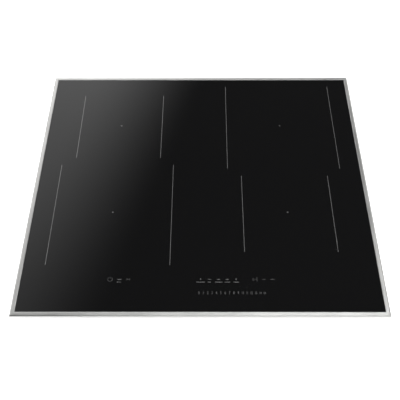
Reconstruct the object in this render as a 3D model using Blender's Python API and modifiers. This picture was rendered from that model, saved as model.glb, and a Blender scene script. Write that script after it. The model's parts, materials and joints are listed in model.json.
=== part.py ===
"""Four-zone induction cooktop with a framed glass top, modelled piece by piece.

Units are metres and +Z is up. The controls are at -Y. The origin is at the middle of the
lowest face of the sheet-metal tray, and x = y = 0 is the middle of the steel frame.
"""

import math

import bmesh
import bpy

# ---------------------------------------------------------------- driving dimensions
# Overall
OVERALL_WIDTH = 0.606
OVERALL_DEPTH = 0.5265
BODY_DEPTH = 0.050              # tray bottom to worktop surface
FIT_GAP = 0.0003                # between pieces that touch
SHEET = 0.001                   # tray sheet thickness

# Steel frame round the glass, measured across one rail
FRAME_FACE = 0.0075             # outer face to the edge of the glass well
FRAME_HEIGHT = 0.0068
FRAME_OUTER_CHAMFER = 0.0018
FRAME_INNER_LIP = 0.0009        # width of the small chamfer beside the glass
FRAME_SHELF = 0.0085            # ledge that carries the glass
FRAME_SHELF_THICKNESS = 0.0012

# Glass and seals
GLASS_THICKNESS = 0.004
GLASS_EDGE = 0.0004
GLASS_BOND_THICKNESS = 0.0006
GLASS_BOND_INSET = 0.001
SEAL_THICKNESS = 0.0022
SEAL_WIDTH = 0.009
SEAL_INSET = 0.0015

# Tray
TRAY_SIDE_SETBACK = 0.027       # frame's outer face to the side of the tray
TRAY_END_SETBACK = 0.02225      # the same at the front and the back
TRAY_CORNER = 0.010
TRAY_FLANGE = 0.011

# Cooking zones
COIL_SIDE_CLEARANCE = 0.020     # wall of the tray to the edge of a large coil carrier
COIL_BACK_CLEARANCE = 0.0082
COIL_ROW_GAP = 0.0251           # between the carriers of the back and front rows
LARGE_ZONE = 0.210
SMALL_ZONE = 0.160
WINDING_INSET = 0.010           # zone radius minus winding radius
WINDING_HOLE = 0.026
WINDING_THICKNESS = 0.0035
MICA_THICKNESS = 0.0008
MICA_HOLE = 0.011
CARRIER_THICKNESS = 0.004
CARRIER_RIM = 0.005             # carrier radius minus winding radius
CARRIER_HUB = 0.034
CARRIER_BAND = 0.008
CARRIER_SPOKES = 8
CARRIER_SPOKE = 0.010
SENSOR_RADIUS = 0.008
SENSOR_FOOT = 0.005

# Aluminium bridges that carry the coils over the electronics
BRIDGE_SHEET = 0.0012
BRIDGE_CLEARANCE = 0.004        # to the clamp pockets and the back of the tray
BRIDGE_AISLE = 0.010            # to the filter board
BRIDGE_FRONT_AISLE = 0.012      # to the control unit
BRIDGE_WIRE_HOLE = 0.012

# Power electronics, one set on each side
BOARD_WIDTH = 0.170
BOARD_LENGTH = 0.210
BOARD_THICKNESS = 0.0016
BOARD_FAN_GAP = 0.038           # fan outlet to the back of the board
BOARD_CARRIER_FLOOR = 0.003
BOARD_CARRIER_RIM = 0.004
BOARD_CARRIER_HEIGHT = 0.007
SINK_WIDTH = 0.070
SINK_LENGTH = 0.120
SINK_HEIGHT = 0.024
SINK_BASE = 0.004
SINK_FIN = 0.0016
SINK_FINS = 11
CAPACITOR_SIZE = (0.032, 0.018, 0.022)
CHOKE_RADIUS = 0.015
CHOKE_TUBE = 0.006

# Fans
FAN_SHIFT = 0.0035              # outwards from the middle of the bridge
FAN_BACK_MARGIN = 0.091         # back of the tray to the fan axis
SCROLL_START = 0.037
SCROLL_END = 0.049
SCROLL_WALL = 0.002
SCROLL_OUTLET = 0.062
SCROLL_HEIGHT = 0.027
ROTOR_RADIUS = 0.033
ROTOR_DISC = 0.0015
ROTOR_BLADES = 17
ROTOR_BLADE = (0.012, 0.0012, 0.017)
ROTOR_BLADE_TURN = math.radians(38)
ROTOR_HUB = 0.011
ROTOR_HUB_HEIGHT = 0.010
SPINDLE = 0.0015
SPINDLE_CLEARANCE = 0.0005
ROTOR_CLEARANCE = 0.0012

# Control unit under the front of the glass
UI_LEFT = -0.172
UI_RIGHT = 0.142
UI_DEPTH = 0.050
UI_FRONT_MARGIN = 0.004         # inner face of the tray to the carrier
UI_HEIGHT = 0.013
UI_WALL = 0.0018
UI_FOOT = 0.012
UI_DISPLAY = (0.118, 0.010, 0.0038)

# Mains connection at the back of the tray
BAY_X = 0.0
BAY_WIDTH = 0.078
BAY_LENGTH = 0.050
BAY_HEIGHT = 0.028
BAY_WALL = 0.002
BAY_BACK_MARGIN = 0.004         # bay wall to tray wall
COVER_THICKNESS = 0.002
COVER_KNUCKLE = 0.0025
COVER_CLEARANCE = 0.0005
PIN_RADIUS = 0.0009
BLOCK_SIZE = (0.062, 0.016, 0.011)
OUTLET_WIDTH = 0.020
OUTLET_HEIGHT = 0.012
OUTLET_CORNER = 0.003
OUTLET_Z = 0.0125
GROMMET_WALL = 0.0015
GRIP_SIZE = (0.034, 0.007, 0.003)
FILTER_BOARD = (0.088, 0.110)
FILTER_GAP = 0.010              # filter board to the connection box

# Worktop clamps, one near each corner
CLAMP_END_MARGIN = 0.076        # end of the tray to the clamp pivot
CLAMP_LENGTH = 0.052            # pivot to tip
CLAMP_WIDTH = 0.014
CLAMP_SHEET = 0.0015
CLAMP_TIP = 0.0056
CLAMP_MARGIN = 0.004            # room round the clamp in its pocket
POCKET_HEIGHT = 0.0095
SCREW_RADIUS = 0.002
SCREW_HEAD = 0.0042
SCREW_HEAD_HEIGHT = 0.0019
SCREW_CLEARANCE = 0.0003

# Vents
SLOT_WIDTH = 0.0034
SLOT_PITCH = 0.0075
INLET_RADIUS = 0.030
EXHAUST_SLOTS = 12
EXHAUST_HEIGHT = 0.012

ROUND = 32                      # sides of a large circle
FINE_ROUND = 16                 # sides of a small one

# ---------------------------------------------------------------- derived places
TRAY_WIDTH = OVERALL_WIDTH - 2 * TRAY_SIDE_SETBACK
TRAY_DEPTH = OVERALL_DEPTH - 2 * TRAY_END_SETBACK
LARGE_COIL = LARGE_ZONE / 2 - WINDING_INSET + CARRIER_RIM
SMALL_COIL = SMALL_ZONE / 2 - WINDING_INSET + CARRIER_RIM
ZONE_X = TRAY_WIDTH / 2 - SHEET - COIL_SIDE_CLEARANCE - LARGE_COIL
ZONE_BACK_Y = TRAY_DEPTH / 2 - SHEET - COIL_BACK_CLEARANCE - LARGE_COIL
ZONE_FRONT_Y = ZONE_BACK_Y - LARGE_COIL - COIL_ROW_GAP - SMALL_COIL
POCKET_WIDTH = CLAMP_WIDTH + 2 * CLAMP_MARGIN
UI_FRONT = -TRAY_DEPTH / 2 + SHEET + UI_FRONT_MARGIN
UI_BACK = UI_FRONT + UI_DEPTH
BRIDGE_INNER = FILTER_BOARD[0] / 2 + BRIDGE_AISLE
BRIDGE_OUTER = TRAY_WIDTH / 2 - POCKET_WIDTH - SHEET - BRIDGE_CLEARANCE
BRIDGE_FRONT = UI_BACK + BRIDGE_FRONT_AISLE
BRIDGE_BACK = TRAY_DEPTH / 2 - SHEET - BRIDGE_CLEARANCE
FAN_Y = TRAY_DEPTH / 2 - FAN_BACK_MARGIN
BOARD_X = (BRIDGE_INNER + BRIDGE_OUTER) / 2
FAN_X = BOARD_X + FAN_SHIFT
BOARD_BACK = FAN_Y - SCROLL_OUTLET - BOARD_FAN_GAP
CLAMP_Y = TRAY_DEPTH / 2 - CLAMP_END_MARGIN

# ---------------------------------------------------------------- derived heights
SEAL_BOTTOM = BODY_DEPTH
FRAME_BOTTOM = SEAL_BOTTOM + SEAL_THICKNESS + FIT_GAP
FRAME_TOP = FRAME_BOTTOM + FRAME_HEIGHT
SHELF_TOP = FRAME_BOTTOM + FRAME_SHELF_THICKNESS
BOND_BOTTOM = SHELF_TOP + FIT_GAP
GLASS_BOTTOM = BOND_BOTTOM + GLASS_BOND_THICKNESS + FIT_GAP
GLASS_TOP = GLASS_BOTTOM + GLASS_THICKNESS
TRAY_TOP = FRAME_BOTTOM - FIT_GAP
MICA_TOP = GLASS_BOTTOM - FIT_GAP
WINDING_TOP = MICA_TOP - MICA_THICKNESS - FIT_GAP
CARRIER_TOP = WINDING_TOP - WINDING_THICKNESS - FIT_GAP
BRIDGE_TOP = CARRIER_TOP - CARRIER_THICKNESS - FIT_GAP
FLOOR = SHEET + FIT_GAP         # where a piece standing in the tray starts
BOARD_BOTTOM = FLOOR + BOARD_CARRIER_FLOOR + FIT_GAP
BOARD_TOP = BOARD_BOTTOM + BOARD_THICKNESS
COVER_AXIS_Z = FIT_GAP + COVER_KNUCKLE
BAY_BACK = TRAY_DEPTH / 2 - SHEET - BAY_BACK_MARGIN
BAY_INNER_BACK = BAY_BACK - BAY_WALL
BAY_INNER_FRONT = BAY_INNER_BACK - BAY_LENGTH
COVER_AXIS_Y = BAY_INNER_FRONT + COVER_CLEARANCE + COVER_KNUCKLE
CLAMP_BOTTOM = 2 * FIT_GAP + SCREW_HEAD_HEIGHT + FIT_GAP
CLAMP_X = TRAY_WIDTH / 2 - CLAMP_WIDTH / 2 - CLAMP_MARGIN
ZONES = {
    "back_left": (-ZONE_X, ZONE_BACK_Y, SMALL_ZONE),
    "back_right": (ZONE_X, ZONE_BACK_Y, LARGE_ZONE),
    "front_left": (-ZONE_X, ZONE_FRONT_Y, LARGE_ZONE),
    "front_right": (ZONE_X, ZONE_FRONT_Y, SMALL_ZONE),
}
SIDES = {"left": -1, "right": 1}
ENDS = {"front": -1, "back": 1}


# ---------------------------------------------------------------- scene and materials
def clear_scene():
    for obj in list(bpy.data.objects):
        bpy.data.objects.remove(obj)


def make_collection(name):
    collection = bpy.data.collections.new(name)
    bpy.context.scene.collection.children.link(collection)
    return collection


def make_material(name, colour, roughness, metallic=0.0):
    material = bpy.data.materials.new(name)
    material.use_nodes = True
    shader = material.node_tree.nodes["Principled BSDF"]
    shader.inputs["Base Color"].default_value = (*colour, 1.0)
    shader.inputs["Roughness"].default_value = roughness
    shader.inputs["Metallic"].default_value = metallic
    material.diffuse_color = (*colour, 1.0)
    return material


# ---------------------------------------------------------------- shapes
def circle(radius, sides=ROUND, x=0.0, y=0.0):
    """Points round a circle, counter-clockwise."""
    step = math.tau / sides
    return [(x + radius * math.cos(i * step), y + radius * math.sin(i * step)) for i in range(sides)]


def rectangle(width, depth, x=0.0, y=0.0):
    """Corners of a rectangle centred on (x, y)."""
    w, d = width / 2, depth / 2
    return [(x - w, y - d), (x + w, y - d), (x + w, y + d), (x - w, y + d)]


def rounded_rectangle(width, depth, radius, x=0.0, y=0.0, steps=4):
    """A rectangle whose corners are arcs of the given radius."""
    points = []
    for quarter, (sx, sy) in enumerate(((1, 1), (-1, 1), (-1, -1), (1, -1))):
        cx = x + sx * (width / 2 - radius)
        cy = y + sy * (depth / 2 - radius)
        for i in range(steps + 1):
            angle = math.pi / 2 * (quarter + i / steps)
            points.append((cx + radius * math.cos(angle), cy + radius * math.sin(angle)))
    return points


def make_object(name, data, place, material=None):
    """Link a new object; cutters have no material and stay out of the render."""
    obj = bpy.data.objects.new(name, data)
    place.objects.link(obj)
    if material:
        obj.data.materials.append(material)
    else:
        obj.hide_render = True
        obj.display_type = "WIRE"
    return obj


def extrude(name, outlines, thickness, place, material=None):
    """A plate of the given outlines, the later ones being holes, centred on local z = 0."""
    curve = bpy.data.curves.new(name, "CURVE")
    curve.dimensions = "2D"
    curve.fill_mode = "BOTH"
    curve.extrude = thickness / 2
    for points in outlines:
        spline = curve.splines.new("POLY")
        spline.points.add(len(points) - 1)
        for target, (x, y) in zip(spline.points, points):
            target.co = (x, y, 0.0, 1.0)
        spline.use_cyclic_u = True
    return make_object(name, curve, place, material)


def as_mesh(obj):
    """Replace a curve object by a mesh object with welded caps, so that it can be cut."""
    bpy.context.view_layer.update()
    graph = bpy.context.evaluated_depsgraph_get()
    mesh = bpy.data.meshes.new_from_object(obj.evaluated_get(graph))
    body = bmesh.new()
    body.from_mesh(mesh)
    bmesh.ops.remove_doubles(body, verts=body.verts, dist=0.00001)
    bmesh.ops.recalc_face_normals(body, faces=body.faces)
    body.to_mesh(mesh)
    body.free()
    name, place, matrix = obj.name, obj.users_collection[0], obj.matrix_world.copy()
    hidden, display = obj.hide_render, obj.display_type
    curve = obj.data
    bpy.data.objects.remove(obj)
    bpy.data.curves.remove(curve)
    solid = bpy.data.objects.new(name, mesh)
    solid.matrix_world = matrix
    solid.hide_render = hidden
    solid.display_type = display
    place.objects.link(solid)
    return solid


def slab(name, outlines, bottom, top, place, material=None, solid=False):
    """A flat plate between two heights."""
    obj = extrude(name, outlines, top - bottom, place, material)
    obj.location.z = (bottom + top) / 2
    return as_mesh(obj) if solid else obj


def boxes(name, spans, place, material=None):
    """One mesh of separate boxes, each given by its lowest and highest corners."""
    body = bmesh.new()
    for low, high in spans:
        made = bmesh.ops.create_cube(body, size=1.0)["verts"]
        size = [b - a for a, b in zip(low, high)]
        middle = [(a + b) / 2 for a, b in zip(low, high)]
        bmesh.ops.scale(body, vec=size, verts=made)
        bmesh.ops.translate(body, vec=middle, verts=made)
    mesh = bpy.data.meshes.new(name)
    body.to_mesh(mesh)
    body.free()
    return make_object(name, mesh, place, material)


def rod(name, radius, length, place, material=None, sides=FINE_ROUND):
    """A cylinder along local z, centred."""
    body = bmesh.new()
    bmesh.ops.create_cone(body, cap_ends=True, segments=sides, radius1=radius, radius2=radius,
                          depth=length)
    mesh = bpy.data.meshes.new(name)
    body.to_mesh(mesh)
    body.free()
    return make_object(name, mesh, place, material)


def turned(name, profile, place, material=None, sides=FINE_ROUND):
    """A solid of revolution about local z. The profile runs top to bottom down its outer side."""
    mesh = bpy.data.meshes.new(name)
    points = [(radius, 0.0, z) for radius, z in profile]
    mesh.from_pydata(points, [(i, i + 1) for i in range(len(points) - 1)], [])
    obj = make_object(name, mesh, place, material)
    screw = obj.modifiers.new("turn", "SCREW")
    screw.steps = sides
    screw.render_steps = sides
    screw.use_merge_vertices = True
    screw.merge_threshold = 0.00001
    return obj


def combine(target, tool, operation="DIFFERENCE"):
    """Cut the target by the tool, or join the tool to it."""
    modifier = target.modifiers.new(tool.name, "BOOLEAN")
    modifier.operation = operation
    modifier.solver = "EXACT"
    modifier.object = tool
    return target


def bevel(obj, width, segments=2, angle=35):
    modifier = obj.modifiers.new("bevel", "BEVEL")
    modifier.width = width
    modifier.segments = segments
    modifier.limit_method = "ANGLE"
    modifier.angle_limit = math.radians(angle)
    return obj


def shade_round(obj):
    obj.data.shade_smooth()
    obj.data.set_sharp_from_angle(angle=math.radians(35))
    return obj


# ---------------------------------------------------------------- frame, glass and seals
def rail_section():
    """Section of a frame rail: first number inward from the outer face, second up."""
    well = FRAME_FACE
    shelf_end = FRAME_FACE + FRAME_SHELF
    return [
        (0.0, 0.0),
        (shelf_end, 0.0),
        (shelf_end, FRAME_SHELF_THICKNESS),
        (well, FRAME_SHELF_THICKNESS),
        (well, FRAME_HEIGHT - FRAME_INNER_LIP * 0.6),
        (well - FRAME_INNER_LIP, FRAME_HEIGHT),
        (FRAME_OUTER_CHAMFER, FRAME_HEIGHT),
        (FRAME_OUTER_CHAMFER * 0.3, FRAME_HEIGHT - FRAME_OUTER_CHAMFER * 0.3),
        (0.0, FRAME_HEIGHT - FRAME_OUTER_CHAMFER),
    ]


def make_rail(name, length, offset, turn, parts, material):
    """A mitred rail. Local x is inward, local y is up and local z runs along the rail."""
    rail = as_mesh(extrude(name, [rail_section()], length, parts, material))
    mitre_gap = FIT_GAP / math.sqrt(2)
    for vertex in rail.data.vertices:
        end = math.copysign(length / 2 - vertex.co.x - mitre_gap, vertex.co.z)
        vertex.co.z = end
    rail.rotation_euler = (math.pi / 2, 0.0, turn)
    rail.location = (-offset * math.cos(turn), -offset * math.sin(turn), FRAME_BOTTOM)
    return rail


def make_frame(parts, steel):
    half_width, half_depth = OVERALL_WIDTH / 2, OVERALL_DEPTH / 2
    make_rail("frame_left", OVERALL_DEPTH, half_width, 0.0, parts, steel)
    make_rail("frame_front", OVERALL_WIDTH, half_depth, math.pi / 2, parts, steel)
    make_rail("frame_right", OVERALL_DEPTH, half_width, math.pi, parts, steel)
    make_rail("frame_back", OVERALL_WIDTH, half_depth, -math.pi / 2, parts, steel)


def ring(name, outer_inset, width, bottom, top, parts, material):
    """A rectangular ring set in from the outer face of the frame."""
    outer = rectangle(OVERALL_WIDTH - 2 * outer_inset, OVERALL_DEPTH - 2 * outer_inset)
    inner_inset = outer_inset + width
    inner = rectangle(OVERALL_WIDTH - 2 * inner_inset, OVERALL_DEPTH - 2 * inner_inset)
    return slab(name, [outer, inner], bottom, top, parts, material)


def make_glass(parts, glass, silicone, foam):
    inset = FRAME_FACE + FIT_GAP
    low = (-OVERALL_WIDTH / 2 + inset, -OVERALL_DEPTH / 2 + inset, GLASS_BOTTOM)
    high = (OVERALL_WIDTH / 2 - inset, OVERALL_DEPTH / 2 - inset, GLASS_TOP)
    bevel(boxes("glass_top", [(low, high)], parts, glass), GLASS_EDGE, segments=1)
    bond_inset = FRAME_FACE + GLASS_BOND_INSET
    bond_width = FRAME_SHELF - 2 * GLASS_BOND_INSET
    ring("glass_bond", bond_inset, bond_width, BOND_BOTTOM, BOND_BOTTOM + GLASS_BOND_THICKNESS,
         parts, silicone)
    ring("worktop_seal", SEAL_INSET, SEAL_WIDTH, SEAL_BOTTOM, SEAL_BOTTOM + SEAL_THICKNESS,
         parts, foam)


# ---------------------------------------------------------------- tray
def clamp_places():
    """(name, x sign, y sign) of each worktop clamp."""
    return [(f"{end}_{side}", sx, sy) for end, sy in ENDS.items() for side, sx in SIDES.items()]


def pocket_span(sx, sy, grow=0.0):
    """The pocket that holds a folded clamp, open below and at the side of the tray."""
    inner_x = CLAMP_X - CLAMP_WIDTH / 2 - CLAMP_MARGIN - grow
    near_y = CLAMP_Y + CLAMP_WIDTH / 2 + CLAMP_MARGIN + grow
    far_y = CLAMP_Y - CLAMP_LENGTH - CLAMP_MARGIN - grow
    outer_x = TRAY_WIDTH / 2 + SHEET
    xs = sorted((sx * inner_x, sx * outer_x))
    ys = sorted((sy * near_y, sy * far_y))
    return (xs[0], ys[0], -SHEET), (xs[1], ys[1], POCKET_HEIGHT + grow)


def inlet_spans():
    """Slots of the two round fan inlets in the tray floor."""
    spans = []
    rows = int(INLET_RADIUS // SLOT_PITCH)
    for sx in SIDES.values():
        for row in range(-rows, rows + 1):
            y = FAN_Y + row * SLOT_PITCH
            reach = math.sqrt(INLET_RADIUS**2 - (row * SLOT_PITCH) ** 2)
            half = max(reach, SLOT_PITCH)
            low = (sx * FAN_X - half, y - SLOT_WIDTH / 2, -SHEET)
            high = (sx * FAN_X + half, y + SLOT_WIDTH / 2, 2 * SHEET)
            spans.append((low, high))
    return spans


def exhaust_spans():
    """Upright slots in the front wall, in front of each heat sink."""
    spans = []
    wall = -TRAY_DEPTH / 2
    bottom = BODY_DEPTH / 2 - EXHAUST_HEIGHT / 2
    for sx in SIDES.values():
        for i in range(EXHAUST_SLOTS):
            x = sx * FAN_X + (i - (EXHAUST_SLOTS - 1) / 2) * SLOT_PITCH
            low = (x - SLOT_WIDTH / 2, wall - SHEET, bottom)
            high = (x + SLOT_WIDTH / 2, wall + 2 * SHEET, bottom + EXHAUST_HEIGHT)
            spans.append((low, high))
    return spans


def make_tray(parts, cutters, steel):
    outer = rounded_rectangle(TRAY_WIDTH, TRAY_DEPTH, TRAY_CORNER)
    inner = rounded_rectangle(TRAY_WIDTH - 2 * SHEET, TRAY_DEPTH - 2 * SHEET, TRAY_CORNER - SHEET)
    rim = rounded_rectangle(TRAY_WIDTH + 2 * TRAY_FLANGE, TRAY_DEPTH + 2 * TRAY_FLANGE,
                            TRAY_CORNER)
    tray = slab("bottom_tray", [outer], 0.0, TRAY_TOP, parts, steel, solid=True)
    flange = slab("tray_flange_tool", [rim], TRAY_TOP - SHEET, TRAY_TOP, cutters, solid=True)
    hollow = slab("tray_hollow_tool", [inner], SHEET, TRAY_TOP + SHEET, cutters, solid=True)
    pockets = [pocket_span(sx, sy) for _, sx, sy in clamp_places()]
    walls = [pocket_span(sx, sy, grow=SHEET) for _, sx, sy in clamp_places()]
    combine(hollow, boxes("pocket_wall_tool", walls, cutters))
    combine(tray, flange, "UNION")
    combine(tray, hollow)
    combine(tray, boxes("pocket_tool", pockets, cutters))
    combine(tray, boxes("inlet_tool", inlet_spans(), cutters))
    combine(tray, boxes("exhaust_tool", exhaust_spans(), cutters))
    opening_low = (BAY_X - BAY_WIDTH / 2, BAY_INNER_FRONT, -SHEET)
    opening_high = (BAY_X + BAY_WIDTH / 2, BAY_INNER_BACK, 2 * SHEET)
    combine(tray, boxes("cover_opening_tool", [(opening_low, opening_high)], cutters))
    combine(tray, outlet_tool("tray_outlet_tool", OUTLET_WIDTH, OUTLET_HEIGHT, cutters))
    for name, sx, sy in clamp_places():
        hole = rod(f"screw_hole_tool_{name}", SCREW_RADIUS + SCREW_CLEARANCE, 4 * SHEET, cutters)
        hole.location = (sx * CLAMP_X, sy * CLAMP_Y, POCKET_HEIGHT + SHEET / 2)
        combine(tray, hole)
    return tray


# ---------------------------------------------------------------- coils
def windows(radius):
    """Openings of a coil carrier between its spokes."""
    inner, outer = CARRIER_HUB, radius - CARRIER_BAND
    pitch = math.tau / CARRIER_SPOKES
    shapes = []
    for i in range(CARRIER_SPOKES):
        points = []
        for r, direction in ((inner, 1), (outer, -1)):
            half = pitch / 2 - CARRIER_SPOKE / 2 / r
            for step in (-1, 0, 1):
                angle = i * pitch + direction * step * half
                points.append((r * math.cos(angle), r * math.sin(angle)))
        shapes.append(points)
    return shapes


def make_coil(name, x, y, zone, parts, finishes):
    radius = zone / 2 - WINDING_INSET
    carrier_radius = radius + CARRIER_RIM
    layers = [
        ("mica_sheet", [circle(carrier_radius), circle(MICA_HOLE, FINE_ROUND)],
         MICA_TOP, MICA_THICKNESS, finishes["mica"]),
        ("coil_winding", [circle(radius), circle(WINDING_HOLE)],
         WINDING_TOP, WINDING_THICKNESS, finishes["copper"]),
        ("coil_carrier",
         [circle(carrier_radius), circle(SENSOR_RADIUS + FIT_GAP, FINE_ROUND),
          *windows(carrier_radius)],
         CARRIER_TOP, CARRIER_THICKNESS, finishes["carrier"]),
    ]
    for layer, outlines, top, thickness, material in layers:
        piece = slab(f"{layer}_{name}", outlines, top - thickness, top, parts, material)
        piece.location.x, piece.location.y = x, y
    bottom = BRIDGE_TOP + FIT_GAP
    step = CARRIER_TOP + FIT_GAP
    top = MICA_TOP
    profile = [(0.0, top), (SENSOR_FOOT, top), (SENSOR_RADIUS, step), (SENSOR_RADIUS, bottom),
               (0.0, bottom)]
    sensor = turned(f"temperature_sensor_{name}", profile, parts, finishes["sensor"])
    sensor.location = (x, y, 0.0)


def make_bridge(side, sx, parts, cutters, aluminium):
    """Sheet bent to a table: flat top under the coils, a leg down each side."""
    t = BRIDGE_SHEET
    height = BRIDGE_TOP - FLOOR
    width = BRIDGE_OUTER - BRIDGE_INNER
    section = [(0.0, 0.0), (t, 0.0), (t, height - t), (width - t, height - t), (width - t, 0.0),
               (width, 0.0), (width, height), (0.0, height)]
    length = BRIDGE_BACK - BRIDGE_FRONT
    bridge = extrude(f"coil_bridge_{side}", [section], length, parts, aluminium)
    bridge.rotation_euler.x = math.pi / 2
    near_x = BRIDGE_INNER if sx > 0 else -BRIDGE_OUTER
    bridge.location = (near_x, (BRIDGE_BACK + BRIDGE_FRONT) / 2, FLOOR)
    bridge = as_mesh(bridge)
    for name, (x, y, _) in ZONES.items():
        if name.endswith(side):
            hole = rod(f"wire_hole_tool_{name}", BRIDGE_WIRE_HOLE / 2, 4 * t, cutters)
            hole.location = (x, y, BRIDGE_TOP - t / 2)
            combine(bridge, hole)
    return bridge


# ---------------------------------------------------------------- power electronics
def scroll_outline(wall, outlet):
    """Fan scroll seen from above: a growing spiral, then a straight duct towards -Y."""
    start, stop, steps = math.radians(300), 0.0, 24
    points = []
    for i in range(steps + 1):
        share = i / steps
        angle = start + (stop - start) * share
        radius = SCROLL_START + (SCROLL_END - SCROLL_START) * share + wall
        points.append((radius * math.cos(angle), radius * math.sin(angle)))
    tongue = SCROLL_START * math.cos(start) - wall
    points.append((SCROLL_END + wall, -outlet))
    points.append((tongue, -outlet))
    return points


def make_fan(side, sx, parts, cutters, finishes):
    top = FLOOR + SCROLL_HEIGHT
    at = (sx * FAN_X, FAN_Y)
    housing = slab(f"fan_housing_{side}", [scroll_outline(SCROLL_WALL, SCROLL_OUTLET)],
                   FLOOR, top, parts, finishes["fan"], solid=True)
    hollow = slab(f"fan_hollow_tool_{side}", [scroll_outline(0.0, SCROLL_OUTLET + SCROLL_WALL)],
                  FLOOR - SHEET, top - SCROLL_WALL, cutters, solid=True)
    spindle = rod(f"fan_spindle_tool_{side}", SPINDLE, ROTOR_HUB_HEIGHT + SCROLL_WALL, cutters)
    spindle.location = (0.0, 0.0, top - SCROLL_WALL / 2 - ROTOR_HUB_HEIGHT / 2)
    housing.location.x, housing.location.y = at
    hollow.location.x, hollow.location.y = at
    spindle.location.x, spindle.location.y = at
    combine(housing, hollow)
    combine(housing, spindle, "UNION")

    disc_top = top - SCROLL_WALL - ROTOR_CLEARANCE
    bore = SPINDLE + SPINDLE_CLEARANCE
    profile = [(bore, disc_top), (ROTOR_RADIUS, disc_top), (ROTOR_RADIUS, disc_top - ROTOR_DISC),
               (ROTOR_HUB, disc_top - ROTOR_DISC), (ROTOR_HUB, disc_top - ROTOR_HUB_HEIGHT),
               (bore, disc_top - ROTOR_HUB_HEIGHT), (bore, disc_top)]
    rotor = turned(f"fan_rotor_{side}", profile, parts, finishes["rotor"], sides=ROUND)
    blades = bmesh.new()
    length, _, height = ROTOR_BLADE
    blade_z = disc_top - ROTOR_DISC / 2 - height / 2
    for i in range(ROTOR_BLADES):
        blade = bmesh.ops.create_cube(blades, size=1.0)["verts"]
        bmesh.ops.scale(blades, vec=ROTOR_BLADE, verts=blade)
        rotate_z(blades, blade, ROTOR_BLADE_TURN)
        reach = ROTOR_RADIUS - length / 2
        bmesh.ops.translate(blades, vec=(reach, 0.0, blade_z), verts=blade)
        rotate_z(blades, blade, math.tau * i / ROTOR_BLADES)
    mesh = bpy.data.meshes.new(f"fan_blades_tool_{side}")
    blades.to_mesh(mesh)
    blades.free()
    tool = make_object(mesh.name, mesh, cutters)
    rotor.location = (*at, 0.0)
    tool.location = (*at, 0.0)
    combine(rotor, tool, "UNION")


def rotate_z(body, verts, angle):
    cos, sin = math.cos(angle), math.sin(angle)
    for vertex in verts:
        x, y, z = vertex.co
        vertex.co = (x * cos - y * sin, x * sin + y * cos, z)


def sink_section():
    """Heat sink end on: a base plate below a row of fins."""
    pitch = (SINK_WIDTH - SINK_FIN) / (SINK_FINS - 1)
    left = -SINK_WIDTH / 2
    points = [(-left, 0.0), (left, 0.0)]
    for i in range(SINK_FINS):
        x = left + i * pitch
        right = x + SINK_FIN
        points += [(x, SINK_BASE), (x, SINK_HEIGHT), (right, SINK_HEIGHT), (right, SINK_BASE)]
    # The first and last fins stand on the sides of the base, so its top corners are left out.
    return points[:2] + points[3:-1]


def make_power_module(side, sx, parts, cutters, finishes):
    x = sx * BOARD_X
    y = BOARD_BACK - BOARD_LENGTH / 2
    rim = FIT_GAP + BOARD_CARRIER_RIM
    base = rounded_rectangle(BOARD_WIDTH + 2 * rim, BOARD_LENGTH + 2 * rim, BOARD_CARRIER_RIM, x, y)
    carrier = slab(f"board_carrier_{side}", [base], FLOOR, FLOOR + BOARD_CARRIER_HEIGHT, parts,
                   finishes["tray_plastic"], solid=True)
    well = rectangle(BOARD_WIDTH + 2 * FIT_GAP, BOARD_LENGTH + 2 * FIT_GAP, x, y)
    combine(carrier, slab(f"board_well_tool_{side}", [well], FLOOR + BOARD_CARRIER_FLOOR,
                          FLOOR + 2 * BOARD_CARRIER_HEIGHT, cutters, solid=True))
    slab(f"power_board_{side}", [rectangle(BOARD_WIDTH, BOARD_LENGTH, x, y)], BOARD_BOTTOM,
         BOARD_TOP, parts, finishes["board"])

    above = BOARD_TOP + FIT_GAP
    sink_x = sx * FAN_X + (SCROLL_START / 2 + SCROLL_END) / 2
    sink_back = BOARD_BACK - BOARD_CARRIER_RIM
    sink = extrude(f"heat_sink_{side}", [sink_section()], SINK_LENGTH, parts, finishes["sink"])
    sink.rotation_euler.x = math.pi / 2
    sink.location = (sink_x, sink_back - SINK_LENGTH / 2, above)

    width, depth, height = CAPACITOR_SIZE
    cap_x = sink_x - SINK_WIDTH / 2 - width
    low = (cap_x - width / 2, y - depth / 2, above)
    high = (cap_x + width / 2, y + depth / 2, above + height)
    bevel(boxes(f"power_capacitor_{side}", [(low, high)], parts, finishes["capacitor"]), 0.001)
    make_choke(f"power_choke_{side}", cap_x, y - 3 * depth, above, parts, finishes["choke"])


def make_choke(name, x, y, bottom, parts, material):
    """Wound ring core standing flat on its board."""
    bpy.ops.mesh.primitive_torus_add(major_radius=CHOKE_RADIUS, minor_radius=CHOKE_TUBE,
                                     major_segments=20, minor_segments=8)
    choke = bpy.context.object
    choke.name = name
    choke.data.name = name
    choke.users_collection[0].objects.unlink(choke)
    parts.objects.link(choke)
    choke.data.materials.append(material)
    choke.location = (x, y, bottom + CHOKE_TUBE)
    shade_round(choke)


def make_filter(parts, finishes):
    width, depth = FILTER_BOARD
    y = BAY_INNER_FRONT - BAY_WALL - FILTER_GAP - depth / 2
    bottom = FLOOR + BOARD_CARRIER_FLOOR
    above = bottom + BOARD_THICKNESS + FIT_GAP
    slab("filter_board", [rounded_rectangle(width, depth, 0.003, 0.0, y)], bottom,
         bottom + BOARD_THICKNESS, parts, finishes["board"])
    make_choke("filter_choke", -width / 4, y, above, parts, finishes["choke"])
    cap_width, cap_depth, cap_height = CAPACITOR_SIZE
    low = (width / 4 - cap_depth / 2, y - cap_width / 2, above)
    high = (width / 4 + cap_depth / 2, y + cap_width / 2, above + cap_height)
    bevel(boxes("filter_capacitor", [(low, high)], parts, finishes["capacitor"]), 0.001)


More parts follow.
